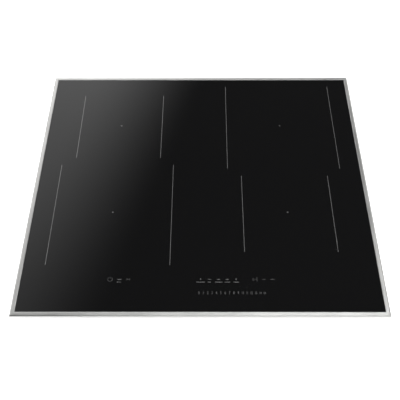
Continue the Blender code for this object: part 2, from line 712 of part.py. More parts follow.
# ---------------------------------------------------------------- control unit
def make_control_unit(parts, cutters, finishes):
    top = GLASS_BOTTOM - FIT_GAP
    bottom = top - UI_HEIGHT
    mid_x, mid_y = (UI_LEFT + UI_RIGHT) / 2, (UI_FRONT + UI_BACK) / 2
    width, depth = UI_RIGHT - UI_LEFT, UI_BACK - UI_FRONT
    carrier = boxes("control_carrier", [((UI_LEFT, UI_FRONT, bottom), (UI_RIGHT, UI_BACK, top))],
                    parts, finishes["tray_plastic"])
    feet = [((x, UI_FRONT + UI_WALL, FLOOR), (x + UI_FOOT, UI_BACK - UI_WALL, bottom + UI_WALL / 2))
            for x in (UI_LEFT + UI_WALL, UI_RIGHT - UI_WALL - UI_FOOT)]
    well_low = (UI_LEFT + UI_WALL, UI_FRONT + UI_WALL, bottom + UI_WALL)
    well_high = (UI_RIGHT - UI_WALL, UI_BACK - UI_WALL, top + UI_WALL)
    combine(carrier, boxes("control_feet_tool", feet, cutters), "UNION")
    combine(carrier, boxes("control_well_tool", [(well_low, well_high)], cutters))
    board_bottom = bottom + UI_WALL + FIT_GAP
    inset = 2 * (UI_WALL + FIT_GAP)
    slab("control_board", [rectangle(width - inset, depth - inset, mid_x, mid_y)], board_bottom,
         board_bottom + BOARD_THICKNESS, parts, finishes["board"])
    display_bottom = board_bottom + BOARD_THICKNESS + FIT_GAP
    length, span, height = UI_DISPLAY
    low = (UI_RIGHT - UI_WALL - UI_FOOT - length, UI_FRONT + 2 * UI_WALL, display_bottom)
    high = (low[0] + length, low[1] + span, display_bottom + height)
    bevel(boxes("slider_light_guide", [(low, high)], parts, finishes["light_guide"]), 0.0006, 1)


# ---------------------------------------------------------------- mains connection
def outlet_tool(name, width, height, cutters):
    """Cutter along Y through the back wall of the tray and of the connection box."""
    outline = rounded_rectangle(width, height, OUTLET_CORNER)
    tool = extrude(name, [outline], 4 * BAY_BACK_MARGIN, cutters)
    tool.rotation_euler.x = math.pi / 2
    tool.location = (BAY_X, TRAY_DEPTH / 2 - BAY_BACK_MARGIN, OUTLET_Z)
    return as_mesh(tool)


def make_connection(parts, cutters, finishes):
    outer_low = (BAY_X - BAY_WIDTH / 2 - BAY_WALL, BAY_INNER_FRONT - BAY_WALL, FLOOR)
    outer_high = (BAY_X + BAY_WIDTH / 2 + BAY_WALL, BAY_BACK, FLOOR + BAY_HEIGHT)
    inner_low = (BAY_X - BAY_WIDTH / 2, BAY_INNER_FRONT, 0.0)
    inner_high = (BAY_X + BAY_WIDTH / 2, BAY_INNER_BACK, FLOOR + BAY_HEIGHT - BAY_WALL)
    bay = boxes("terminal_box", [(outer_low, outer_high)], parts, finishes["tray_plastic"])
    combine(bay, boxes("bay_hollow_tool", [(inner_low, inner_high)], cutters))
    combine(bay, outlet_tool("bay_outlet_tool", OUTLET_WIDTH, OUTLET_HEIGHT, cutters))
    pin_length = BAY_WIDTH + 1.5 * BAY_WALL
    pin_hole = rod("pin_hole_tool", PIN_RADIUS + FIT_GAP, 2 * pin_length, cutters)
    pin_hole.rotation_euler.y = math.pi / 2
    pin_hole.location = (BAY_X, COVER_AXIS_Y, COVER_AXIS_Z)
    combine(bay, pin_hole)
    pin = rod("terminal_cover_pin", PIN_RADIUS, pin_length, parts, finishes["bright_steel"])
    pin.rotation_euler.y = math.pi / 2
    pin.location = (BAY_X, COVER_AXIS_Y, COVER_AXIS_Z)
    shade_round(pin)

    make_cover(pin_hole, parts, finishes["cover"])

    width, depth, height = BLOCK_SIZE
    block_top = inner_high[2] - FIT_GAP
    block_y = BAY_INNER_FRONT + BAY_WALL + depth / 2
    low = (BAY_X - width / 2, block_y - depth / 2, block_top - height)
    high = (BAY_X + width / 2, block_y + depth / 2, block_top)
    bevel(boxes("terminal_block", [(low, high)], parts, finishes["block"]), 0.0008, 1)

    width, depth, height = GRIP_SIZE
    grip_bottom = OUTLET_Z + OUTLET_HEIGHT / 2
    low = (BAY_X - width / 2, BAY_INNER_BACK - 2 * depth, grip_bottom)
    high = (BAY_X + width / 2, BAY_INNER_BACK - depth, grip_bottom + height)
    bevel(boxes("cord_grip", [(low, high)], parts, finishes["bright_steel"]), 0.0006, 1)

    rings = [rounded_rectangle(OUTLET_WIDTH - 2 * inset, OUTLET_HEIGHT - 2 * inset,
                               OUTLET_CORNER - inset)
             for inset in (FIT_GAP, FIT_GAP + GROMMET_WALL)]
    grommet = extrude("cable_grommet", rings, BAY_BACK_MARGIN + 2 * SHEET, parts,
                      finishes["rubber"])
    grommet.rotation_euler.x = math.pi / 2
    grommet.location = (BAY_X, TRAY_DEPTH / 2 - SHEET / 2 - BAY_BACK_MARGIN / 2, OUTLET_Z)


def make_cover(pin_hole, parts, material):
    """Lid under the connection box. Local x is +Y from the hinge, local y is up."""
    radius = COVER_KNUCKLE
    reach = BAY_LENGTH - radius - 2 * COVER_CLEARANCE
    section = [(reach, -radius), (reach, -radius + COVER_THICKNESS)]
    steps = 10
    first = math.asin((COVER_THICKNESS - radius) / radius)
    for i in range(steps + 1):
        angle = first + (1.5 * math.pi - first) * i / steps
        section.append((radius * math.cos(angle), radius * math.sin(angle)))
    width = BAY_WIDTH - 2 * COVER_CLEARANCE
    cover = extrude("terminal_cover", [section], width, parts, material)
    cover.rotation_euler = (math.pi / 2, 0.0, math.pi / 2)
    cover.location = (BAY_X, COVER_AXIS_Y, COVER_AXIS_Z)
    combine(as_mesh(cover), pin_hole)


# ---------------------------------------------------------------- worktop clamps
def clamp_outline():
    """Arm seen from above: round at the pivot, square at the tip, running along +Y."""
    half = CLAMP_WIDTH / 2
    steps = 10
    angles = [math.pi * (1 + i / steps) for i in range(steps + 1)]
    arc = [(half * math.cos(angle), half * math.sin(angle)) for angle in angles]
    return arc + [(half, CLAMP_LENGTH), (-half, CLAMP_LENGTH)]


def make_clamps(parts, cutters, finishes):
    for name, sx, sy in clamp_places():
        hole = circle(SCREW_RADIUS + SCREW_CLEARANCE, FINE_ROUND)
        arm = slab(f"worktop_clamp_{name}", [clamp_outline(), hole], 0.0, CLAMP_SHEET, parts,
                   finishes["bright_steel"], solid=True)
        half = CLAMP_WIDTH / 2
        tip_low = (-half, CLAMP_LENGTH - CLAMP_SHEET, CLAMP_SHEET / 2)
        tip_high = (half, CLAMP_LENGTH, CLAMP_TIP)
        tip = boxes(f"clamp_tip_tool_{name}", [(tip_low, tip_high)], cutters)
        for piece in (arm, tip):
            piece.location.x = sx * CLAMP_X
            piece.location.y = sy * CLAMP_Y
            piece.location.z += CLAMP_BOTTOM
            piece.rotation_euler.z = 0.0 if sy < 0 else math.pi
        combine(arm, tip, "UNION")

        head_bottom = 2 * FIT_GAP
        head_top = head_bottom + SCREW_HEAD_HEIGHT
        tip_z = POCKET_HEIGHT + 3 * SHEET
        profile = [(0.0, tip_z), (SCREW_RADIUS, tip_z), (SCREW_RADIUS, head_top),
                   (SCREW_HEAD, head_top), (SCREW_HEAD * 0.8, head_bottom), (0.0, head_bottom)]
        screw = turned(f"clamp_screw_{name}", profile, parts, finishes["bright_steel"])
        screw.location = (sx * CLAMP_X, sy * CLAMP_Y, 0.0)


# ---------------------------------------------------------------- assembly
def make_finishes():
    return {
        "steel": make_material("brushed_steel", (0.62, 0.62, 0.61), 0.3, 1.0),
        "glass": make_material("black_glass", (0.006, 0.006, 0.007), 0.06),
        "silicone": make_material("silicone", (0.02, 0.02, 0.02), 0.6),
        "foam": make_material("seal_foam", (0.05, 0.05, 0.05), 0.9),
        "tray": make_material("zinc_sheet", (0.50, 0.51, 0.52), 0.4, 1.0),
        "mica": make_material("mica", (0.45, 0.38, 0.27), 0.6),
        "copper": make_material("litz_copper", (0.50, 0.23, 0.11), 0.45, 1.0),
        "carrier": make_material("coil_carrier_plastic", (0.07, 0.07, 0.07), 0.6),
        "sensor": make_material("sensor_silicone", (0.60, 0.58, 0.52), 0.6),
        "aluminium": make_material("bridge_aluminium", (0.70, 0.70, 0.71), 0.4, 1.0),
        "fan": make_material("fan_plastic", (0.03, 0.03, 0.03), 0.5),
        "rotor": make_material("rotor_plastic", (0.05, 0.05, 0.055), 0.45),
        "board": make_material("circuit_board", (0.05, 0.17, 0.07), 0.45),
        "sink": make_material("sink_aluminium", (0.66, 0.66, 0.67), 0.35, 1.0),
        "capacitor": make_material("capacitor_plastic", (0.10, 0.16, 0.32), 0.5),
        "choke": make_material("choke_winding", (0.45, 0.20, 0.10), 0.4, 1.0),
        "tray_plastic": make_material("carrier_plastic", (0.55, 0.55, 0.53), 0.6),
        "light_guide": make_material("light_guide", (0.75, 0.75, 0.75), 0.3),
        "cover": make_material("cover_plastic", (0.04, 0.04, 0.04), 0.55),
        "block": make_material("terminal_plastic", (0.62, 0.60, 0.55), 0.5),
        "bright_steel": make_material("plated_steel", (0.58, 0.58, 0.56), 0.3, 1.0),
        "rubber": make_material("grommet_rubber", (0.02, 0.02, 0.02), 0.8),
    }


def build():
    clear_scene()
    parts = make_collection("induction_cooktop")
    cutters = make_collection("cutters")
    finishes = make_finishes()
    make_frame(parts, finishes["steel"])
    make_glass(parts, finishes["glass"], finishes["silicone"], finishes["foam"])
    make_tray(parts, cutters, finishes["tray"])
    for name, (x, y, zone) in ZONES.items():
        make_coil(name, x, y, zone, parts, finishes)
    for side, sx in SIDES.items():
        make_bridge(side, sx, parts, cutters, finishes["aluminium"])
        make_power_module(side, sx, parts, cutters, finishes)
        make_fan(side, sx, parts, cutters, finishes)
    make_filter(parts, finishes)
    make_control_unit(parts, cutters, finishes)
    make_connection(parts, cutters, finishes)
    make_clamps(parts, cutters, finishes)


build()
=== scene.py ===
"""Looks of a framed four-zone induction cooktop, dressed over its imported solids.

Lengths are metres in the cooktop's own frame: +X to the user's right, +Y away from the user,
+Z up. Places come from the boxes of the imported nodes. Sizes that belong to a finish or to a
fitting are fields of the class that makes it.
"""

import json
import logging
import math
from dataclasses import dataclass
from enum import Enum
from typing import ClassVar, Optional, Sequence

import bmesh
import bpy
from mathutils import Matrix, Vector

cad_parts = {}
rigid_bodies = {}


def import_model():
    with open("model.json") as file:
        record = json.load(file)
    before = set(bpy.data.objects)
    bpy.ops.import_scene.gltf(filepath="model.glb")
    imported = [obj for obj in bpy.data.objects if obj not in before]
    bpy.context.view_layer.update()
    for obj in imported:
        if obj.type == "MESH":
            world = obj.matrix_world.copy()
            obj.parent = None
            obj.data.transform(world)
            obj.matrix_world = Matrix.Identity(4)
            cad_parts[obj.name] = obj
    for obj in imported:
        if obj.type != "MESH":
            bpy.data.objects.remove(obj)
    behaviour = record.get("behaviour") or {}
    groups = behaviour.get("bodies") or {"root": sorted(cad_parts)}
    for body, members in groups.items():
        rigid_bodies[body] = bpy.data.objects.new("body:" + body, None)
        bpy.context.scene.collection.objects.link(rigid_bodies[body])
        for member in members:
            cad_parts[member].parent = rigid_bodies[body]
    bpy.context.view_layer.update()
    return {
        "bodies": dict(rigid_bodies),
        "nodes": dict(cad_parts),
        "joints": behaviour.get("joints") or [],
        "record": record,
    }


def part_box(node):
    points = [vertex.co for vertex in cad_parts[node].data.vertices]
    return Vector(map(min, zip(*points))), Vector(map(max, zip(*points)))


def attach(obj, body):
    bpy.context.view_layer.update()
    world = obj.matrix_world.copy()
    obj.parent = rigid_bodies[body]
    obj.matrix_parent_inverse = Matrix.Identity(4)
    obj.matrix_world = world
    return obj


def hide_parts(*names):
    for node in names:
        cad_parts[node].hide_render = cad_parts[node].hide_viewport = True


LOG = logging.getLogger("cooktop")

Point2 = tuple[float, float]
Point3 = tuple[float, float, float]
Colour = tuple[float, float, float]


# ------------------------------------------------------------------------------ names
class Body(Enum):
    """Rigid bodies that pieces ride on."""

    HOUSING = "housing"
    FAN_LEFT = "fan_rotor_left"
    FAN_RIGHT = "fan_rotor_right"
    COVER = "terminal_cover"
    CLAMP_BACK_LEFT = "worktop_clamp_back_left"
    CLAMP_BACK_RIGHT = "worktop_clamp_back_right"
    CLAMP_FRONT_LEFT = "worktop_clamp_front_left"
    CLAMP_FRONT_RIGHT = "worktop_clamp_front_right"


class Side(Enum):
    """Sides of the frame, as quarter turns from the front."""

    FRONT = 0
    RIGHT = 1
    BACK = 2
    LEFT = 3


class Facing(Enum):
    """Way a fitting points, as turns about X and Y in degrees."""

    UP = (0.0, 0.0)
    DOWN = (180.0, 0.0)
    FRONT = (90.0, 0.0)
    BACK = (-90.0, 0.0)
    RIGHT = (0.0, 90.0)
    LEFT = (0.0, -90.0)


ZONES: tuple[str, ...] = ("back_left", "back_right", "front_left", "front_right")
HANDS: tuple[str, ...] = ("left", "right")


@dataclass(frozen=True)
class Box:
    """Lowest and highest corners of one or more nodes."""

    low: Vector
    high: Vector

    @classmethod
    def of(cls, *nodes: str) -> "Box":
        """Box round the named nodes.

        Args:
            nodes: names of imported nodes.

        Returns:
            The box that holds them all.
        """
        corners = [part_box(node) for node in nodes]
        low = Vector([min(pair[0][i] for pair in corners) for i in range(3)])
        high = Vector([max(pair[1][i] for pair in corners) for i in range(3)])
        return cls(low, high)

    @property
    def centre(self) -> Vector:
        """Middle of the box."""
        return (self.low + self.high) / 2

    @property
    def size(self) -> Vector:
        """Side lengths of the box."""
        return self.high - self.low


# --------------------------------------------------------------------- shader building
class ShaderGraph:
    """A material under construction, with short calls for the nodes it uses."""

    def __init__(self, name: str) -> None:
        """Start a material that has one Principled shader.

        Args:
            name: the material's name.
        """
        self.material = bpy.data.materials.new(name)
        self.material.use_nodes = True
        self.tree = self.material.node_tree
        self.shader = self.tree.nodes["Principled BSDF"]

    def node(self, kind: str, inputs: Optional[dict] = None, **settings) -> bpy.types.Node:
        """Add a node.

        Args:
            kind: node type without the "ShaderNode" prefix.
            inputs: values or sockets for its inputs, by name or index.
            settings: attributes of the node.

        Returns:
            The new node.
        """
        made = self.tree.nodes.new("ShaderNode" + kind)
        for key, value in settings.items():
            setattr(made, key, value)
        for key, value in (inputs or {}).items():
            self.put(made.inputs[key], value)
        return made

    def put(self, target: bpy.types.NodeSocket, value) -> None:
        """Set a socket to a value, or link it to another socket."""
        if isinstance(value, bpy.types.NodeSocket):
            self.tree.links.new(value, target)
        else:
            target.default_value = value

    def surface(self, **inputs) -> None:
        """Set the shader's inputs; underscores stand for spaces."""
        for key, value in inputs.items():
            self.put(self.shader.inputs[key.replace("_", " ")], value)

    def place(self, stretch: Point3 = (1.0, 1.0, 1.0), uv: bool = False) -> bpy.types.NodeSocket:
        """Coordinates in metres, stretched along each axis.

        Args:
            stretch: factor for each axis.
            uv: use the piece's own UV map in place of object coordinates.

        Returns:
            The vector socket.
        """
        source = self.node("TexCoord").outputs["UV" if uv else "Object"]
        return self.node("Mapping", {"Vector": source, "Scale": stretch}).outputs["Vector"]

    def noise(self, where: bpy.types.NodeSocket, scale: float, detail: float = 3.0,
              rough: float = 0.5) -> bpy.types.NodeSocket:
        """Fractal noise.

        Args:
            where: coordinates.
            scale: cells a metre.
            detail: octaves.
            rough: share kept by each octave.

        Returns:
            The value socket.
        """
        made = self.node("TexNoise", {"Vector": where, "Scale": scale, "Detail": detail,
                                      "Roughness": rough})
        return made.outputs["Fac"]

    def cells(self, where: bpy.types.NodeSocket, scale: float,
              output: str = "Distance") -> bpy.types.NodeSocket:
        """Voronoi cells.

        Args:
            where: coordinates.
            scale: cells a metre.
            output: name of the output wanted.

        Returns:
            The chosen socket.
        """
        return self.node("TexVoronoi", {"Vector": where, "Scale": scale}).outputs[output]

    def span(self, value: bpy.types.NodeSocket, low: float, high: float,
             start: float = 0.3, stop: float = 0.7) -> bpy.types.NodeSocket:
        """Map a value from start..stop to low..high, clamped.

        Args:
            value: the socket to map.
            low: result at start.
            high: result at stop.
            start: first input value.
            stop: last input value.

        Returns:
            The mapped socket.
        """
        made = self.node("MapRange", {"Value": value, "From Min": start, "From Max": stop,
                                      "To Min": low, "To Max": high})
        return made.outputs["Result"]

    def tint(self, factor: bpy.types.NodeSocket, first: Colour,
             second: Colour) -> bpy.types.NodeSocket:
        """Blend two colours.

        Args:
            factor: 0 gives the first colour, 1 the second.
            first: linear colour.
            second: linear colour.

        Returns:
            The colour socket.
        """
        made = self.node("Mix", data_type="RGBA")
        self.put(made.inputs["Factor"], factor)
        made.inputs[6].default_value = (*first, 1.0)
        made.inputs[7].default_value = (*second, 1.0)
        return made.outputs[2]

    def bump(self, height: bpy.types.NodeSocket, depth: float, strength: float = 1.0) -> None:
        """Drive the shader's normal.

        Args:
            height: socket running from 0 to 1.
            depth: real height of that range in metres.
            strength: share of the effect.
        """
        made = self.node("Bump", {"Height": height, "Distance": depth, "Strength": strength})
        self.put(self.shader.inputs["Normal"], made.outputs["Normal"])


def scaled(colour: Colour, factor: float) -> Colour:
    """A colour made lighter or darker."""
    return tuple(min(1.0, channel * factor) for channel in colour)


@dataclass(frozen=True)
class BlackGlass:
    """Polished opaque glass-ceramic with a very fine fleck and wiped-on haze."""

    colour: Colour = (0.0026, 0.0026, 0.0028)
    gloss: float = 0.035
    haze: float = 0.075
    fleck: float = 900.0

    def material(self) -> bpy.types.Material:
        """Build the material."""
        graph = ShaderGraph("black_glass")
        where = graph.place()
        fleck = graph.noise(where, self.fleck, detail=2.0)
        wiped = graph.noise(graph.place((0.7, 1.0, 1.0)), 7.0, detail=5.0, rough=0.6)
        graph.surface(
            Base_Color=graph.tint(graph.span(fleck, 0.0, 1.0, 0.45, 0.75),
                                  self.colour, scaled(self.colour, 1.7)),
            Roughness=graph.span(wiped, self.gloss, self.haze, 0.35, 0.75),
            IOR=1.5,
        )
        graph.bump(graph.noise(where, 3.0, detail=1.0), 0.00006, 0.15)
        return graph.material


@dataclass(frozen=True)
class BrushedSteel:
    """Steel with fine lines drawn along U of its map."""

    name: str = "brushed_steel"
    colour: Colour = (0.56, 0.56, 0.55)
    gloss: float = 0.30
    dull: float = 0.42
    lines: float = 3500.0
    line_stretch: float = 0.012
    depth: float = 0.000004

    def material(self) -> bpy.types.Material:
        """Build the material."""
        graph = ShaderGraph(self.name)
        where = graph.place((self.line_stretch, 1.0, 1.0), uv=True)
        lines = graph.noise(where, self.lines, detail=3.0, rough=0.65)
        broad = graph.noise(graph.place(uv=True), 14.0, detail=2.0)
        graph.surface(
            Base_Color=graph.tint(graph.span(lines, 0.0, 1.0), scaled(self.colour, 0.92),
                                  scaled(self.colour, 1.05)),
            Metallic=1.0,
            Roughness=graph.span(broad, self.gloss, self.dull, 0.3, 0.7),
        )
        graph.bump(lines, self.depth, 0.5)
        return graph.material


@dataclass(frozen=True)
class SheetMetal:
    """Rolled or coated sheet with soft mottling."""

    name: str
    colour: Colour
    gloss: float = 0.32
    dull: float = 0.5
    spangle: float = 160.0
    contrast: float = 0.16

    def material(self) -> bpy.types.Material:
        """Build the material."""
        graph = ShaderGraph(self.name)
        where = graph.place()
        crystals = graph.cells(where, self.spangle, "Color")
        grey = graph.node("RGBToBW", {"Color": crystals}).outputs["Val"]
        cloud = graph.noise(where, 22.0, detail=4.0)
        mixed = graph.node("Math", {0: grey, 1: cloud}, operation="MULTIPLY").outputs[0]
        graph.surface(
            Base_Color=graph.tint(graph.span(mixed, 0.0, 1.0, 0.05, 0.5),
                                  scaled(self.colour, 1.0 - self.contrast),
                                  scaled(self.colour, 1.0 + self.contrast)),
            Metallic=1.0,
            Roughness=graph.span(grey, self.gloss, self.dull, 0.2, 0.8),
        )
        graph.bump(graph.noise(where, 420.0, detail=2.0), 0.00002, 0.3)
        return graph.material


@dataclass(frozen=True)
class Moulded:
    """Moulded plastic, rubber or print with a fine grain."""

    name: str
    colour: Colour
    gloss: float = 0.45
    dull: float = 0.6
    grain: float = 1400.0
    depth: float = 0.00002
    contrast: float = 0.12

    def material(self) -> bpy.types.Material:
        """Build the material."""
        graph = ShaderGraph(self.name)
        where = graph.place()
        grain = graph.noise(where, self.grain, detail=3.0)
        cloud = graph.noise(where, 35.0, detail=3.0)
        graph.surface(
            Base_Color=graph.tint(graph.span(cloud, 0.0, 1.0),
                                  scaled(self.colour, 1.0 - self.contrast),
                                  scaled(self.colour, 1.0 + self.contrast)),
            Roughness=graph.span(grain, self.gloss, self.dull),
        )
        graph.bump(grain, self.depth, 0.6)
        return graph.material


@dataclass(frozen=True)
class FiredPrint:
    """Glossy grey enamel fired onto the glass."""

    name: str
    colour: Colour
    gloss: float = 0.16
    dull: float = 0.28
    grain: float = 2600.0

    def material(self) -> bpy.types.Material:
        """Build the material."""
        graph = ShaderGraph(self.name)
        where = graph.place()
        grain = graph.noise(where, self.grain, detail=2.0)
        graph.surface(
            Base_Color=graph.tint(graph.span(grain, 0.0, 1.0), scaled(self.colour, 0.85),
                                  scaled(self.colour, 1.15)),
            Roughness=graph.span(grain, self.gloss, self.dull),
            IOR=2.0,
        )
        graph.bump(grain, 0.000004, 0.5)
        return graph.material


@dataclass(frozen=True)
class Flecked:
    """Pressed mica: pale flakes in a darker binder."""

    name: str = "mica"
    colour: Colour = (0.40, 0.33, 0.22)
    flake: float = 420.0

    def material(self) -> bpy.types.Material:
        """Build the material."""
        graph = ShaderGraph(self.name)
        where = graph.place()
        flakes = graph.node("RGBToBW", {"Color": graph.cells(where, self.flake, "Color")})
        graph.surface(
            Base_Color=graph.tint(flakes.outputs["Val"], scaled(self.colour, 0.6),
                                  scaled(self.colour, 1.6)),
            Roughness=graph.span(flakes.outputs["Val"], 0.3, 0.65, 0.0, 1.0),
        )
        graph.bump(flakes.outputs["Val"], 0.00005, 0.4)
        return graph.material


@dataclass(frozen=True)
class Stranded:
    """Twisted lacquered copper strands, drawn across the winding."""

    name: str = "litz_copper"
    colour: Colour = (0.52, 0.22, 0.10)
    strands: float = 2600.0

    def material(self) -> bpy.types.Material:
        """Build the material."""
        graph = ShaderGraph(self.name)
        where = graph.place()
        strands = graph.noise(where, self.strands, detail=2.0)
        cloud = graph.noise(where, 60.0)
        graph.surface(
            Base_Color=graph.tint(graph.span(cloud, 0.0, 1.0), scaled(self.colour, 0.7),
                                  scaled(self.colour, 1.25)),
            Metallic=0.85,
            Roughness=graph.span(strands, 0.3, 0.55),
            Coat_Weight=0.3,
        )
        graph.bump(strands, 0.00008, 0.7)
        return graph.material


@dataclass(frozen=True)
class SolderMask:
    """Green circuit board with faint tracks under the mask."""

    name: str = "circuit_board"
    colour: Colour = (0.018, 0.115, 0.045)
    track: float = 120.0

    def material(self) -> bpy.types.Material:
        """Build the material."""
        graph = ShaderGraph(self.name)
        where = graph.place()
        tracks = graph.node("TexBrick", {"Vector": where, "Scale": self.track,
                                         "Color1": (0, 0, 0, 1), "Color2": (1, 1, 1, 1),
                                         "Mortar": (0.4, 0.4, 0.4, 1), "Mortar Size": 0.06})
        grey = graph.node("RGBToBW", {"Color": tracks.outputs["Color"]}).outputs["Val"]
        graph.surface(
            Base_Color=graph.tint(grey, self.colour, scaled(self.colour, 1.8)),
            Roughness=graph.span(graph.noise(where, 300.0), 0.3, 0.45),
        )
        graph.bump(grey, 0.00003, 0.5)
        return graph.material


# ----------------------------------------------------------------------- mesh building
def shade(mesh: bpy.types.Mesh, sharp: float, flat: float) -> None:
    """Shade a mesh smooth, except over sharp edges and round its wide flat faces.

    Args:
        mesh: the mesh.
        sharp: edges bent by more than this many degrees stay sharp.
        flat: a face whose every edge is longer than this keeps its own normal.
    """
    mesh.shade_smooth()
    mesh.set_sharp_from_angle(angle=math.radians(sharp))
    lengths = {}
    for edge in mesh.edges:
        first, second = (mesh.vertices[i].co for i in edge.vertices)
        lengths[edge.key] = (first - second).length
    wide = set()
    for face in mesh.polygons:
        if min(lengths[key] for key in face.edge_keys) > flat:
            wide.update(face.edge_keys)
    for edge in mesh.edges:
        if edge.key in wide:
            edge.use_edge_sharp = True


def object_from(name: str, body: bmesh.types.BMesh, material: bpy.types.Material,
                sharp: float = 32.0, flat: float = 0.003) -> bpy.types.Object:
    """Turn a mesh under construction into a linked, smooth-shaded object.

    Args:
        name: the piece's name.
        body: the mesh, which is freed.
        material: its finish.
        sharp: edges bent by more than this many degrees stay sharp.
        flat: a face whose every edge is longer than this keeps its own normal.

    Returns:
        The new object at the origin.
    """
    mesh = bpy.data.meshes.new(name)
    body.to_mesh(mesh)
    body.free()
    mesh.materials.append(material)
    shade(mesh, sharp, flat)
    obj = bpy.data.objects.new(name, mesh)
    bpy.context.scene.collection.objects.link(obj)
    return obj


def adopt(obj: bpy.types.Object, body: Body,
          replaces: Sequence[str] = ()) -> bpy.types.Object:
    """Hand a finished piece to its body.

    Args:
        obj: the piece, at the origin.
        body: the body it rides on.
        replaces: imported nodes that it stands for.

    Returns:
        The same piece.
    """
    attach(obj, body.value)
    if replaces:
        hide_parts(*replaces)
    LOG.info("%s: %d faces on %s", obj.name, len(obj.data.polygons), body.value)
    return obj


def add_box(body: bmesh.types.BMesh, low: Sequence[float], high: Sequence[float]) -> list:
    """Add a box to a mesh.

    Args:
        body: the mesh.
        low: its lowest corner.
        high: its highest corner.

    Returns:
        The new vertices.
    """
    verts = bmesh.ops.create_cube(body, size=1.0)["verts"]
    bmesh.ops.scale(body, vec=[b - a for a, b in zip(low, high)], verts=verts)
    bmesh.ops.translate(body, vec=[(a + b) / 2 for a, b in zip(low, high)], verts=verts)
    return verts


def add_stroke(body: bmesh.types.BMesh, points: Sequence[Point2], width: float, bottom: float,
               top: float, closed: bool = False) -> None:
    """Add a flat raised stroke of even width along a line.

    Args:
        body: the mesh.
        points: the line's points.
        width: stroke width.
        bottom: its lower height.
        top: its upper height.
        closed: join the last point to the first.
    """
    line = [Vector(point) for point in points]
    count = len(line)
    rings = []
    for i, here in enumerate(line):
        before = line[i - 1] if closed or i else here
        after = line[(i + 1) % count] if closed or i < count - 1 else here
        ahead = (after - here).normalized() if after != here else (here - before).normalized()
        behind = (here - before).normalized() if here != before else ahead
        along = (ahead + behind).normalized()
        across = Vector((-along.y, along.x)) * (width / 2 / max(0.5, along.dot(ahead)))
        corners = [(here - across, bottom), (here + across, bottom), (here + across, top),
                   (here - across, top)]
        rings.append([body.verts.new((*spot, z)) for spot, z in corners])
    for i in range(count if closed else count - 1):
        first, second = rings[i], rings[(i + 1) % count]
        for j in range(4):
            body.faces.new((first[j], second[j], second[(j + 1) % 4], first[(j + 1) % 4]))
    if not closed:
        body.faces.new(rings[0])
        body.faces.new(list(reversed(rings[-1])))


def arc(x: float, y: float, radius: float, start: float, stop: float, steps: int) -> list[Point2]:
    """Points along a circular arc.

    Args:
        x: centre.
        y: centre.
        radius: radius of the arc.
        start: first angle in degrees.
        stop: last angle in degrees.
        steps: number of stretches.

    Returns:
        The points, first and last included.
    """
    angles = [math.radians(start + (stop - start) * i / steps) for i in range(steps + 1)]
    return [(x + radius * math.cos(angle), y + radius * math.sin(angle)) for angle in angles]


def seeds(points: Sequence[Point3]) -> bpy.types.Mesh:
    """A mesh of loose points for a recipe to start from."""
    mesh = bpy.data.meshes.new("seeds")
    mesh.from_pydata([tuple(point) for point in points], [], [])
    return mesh


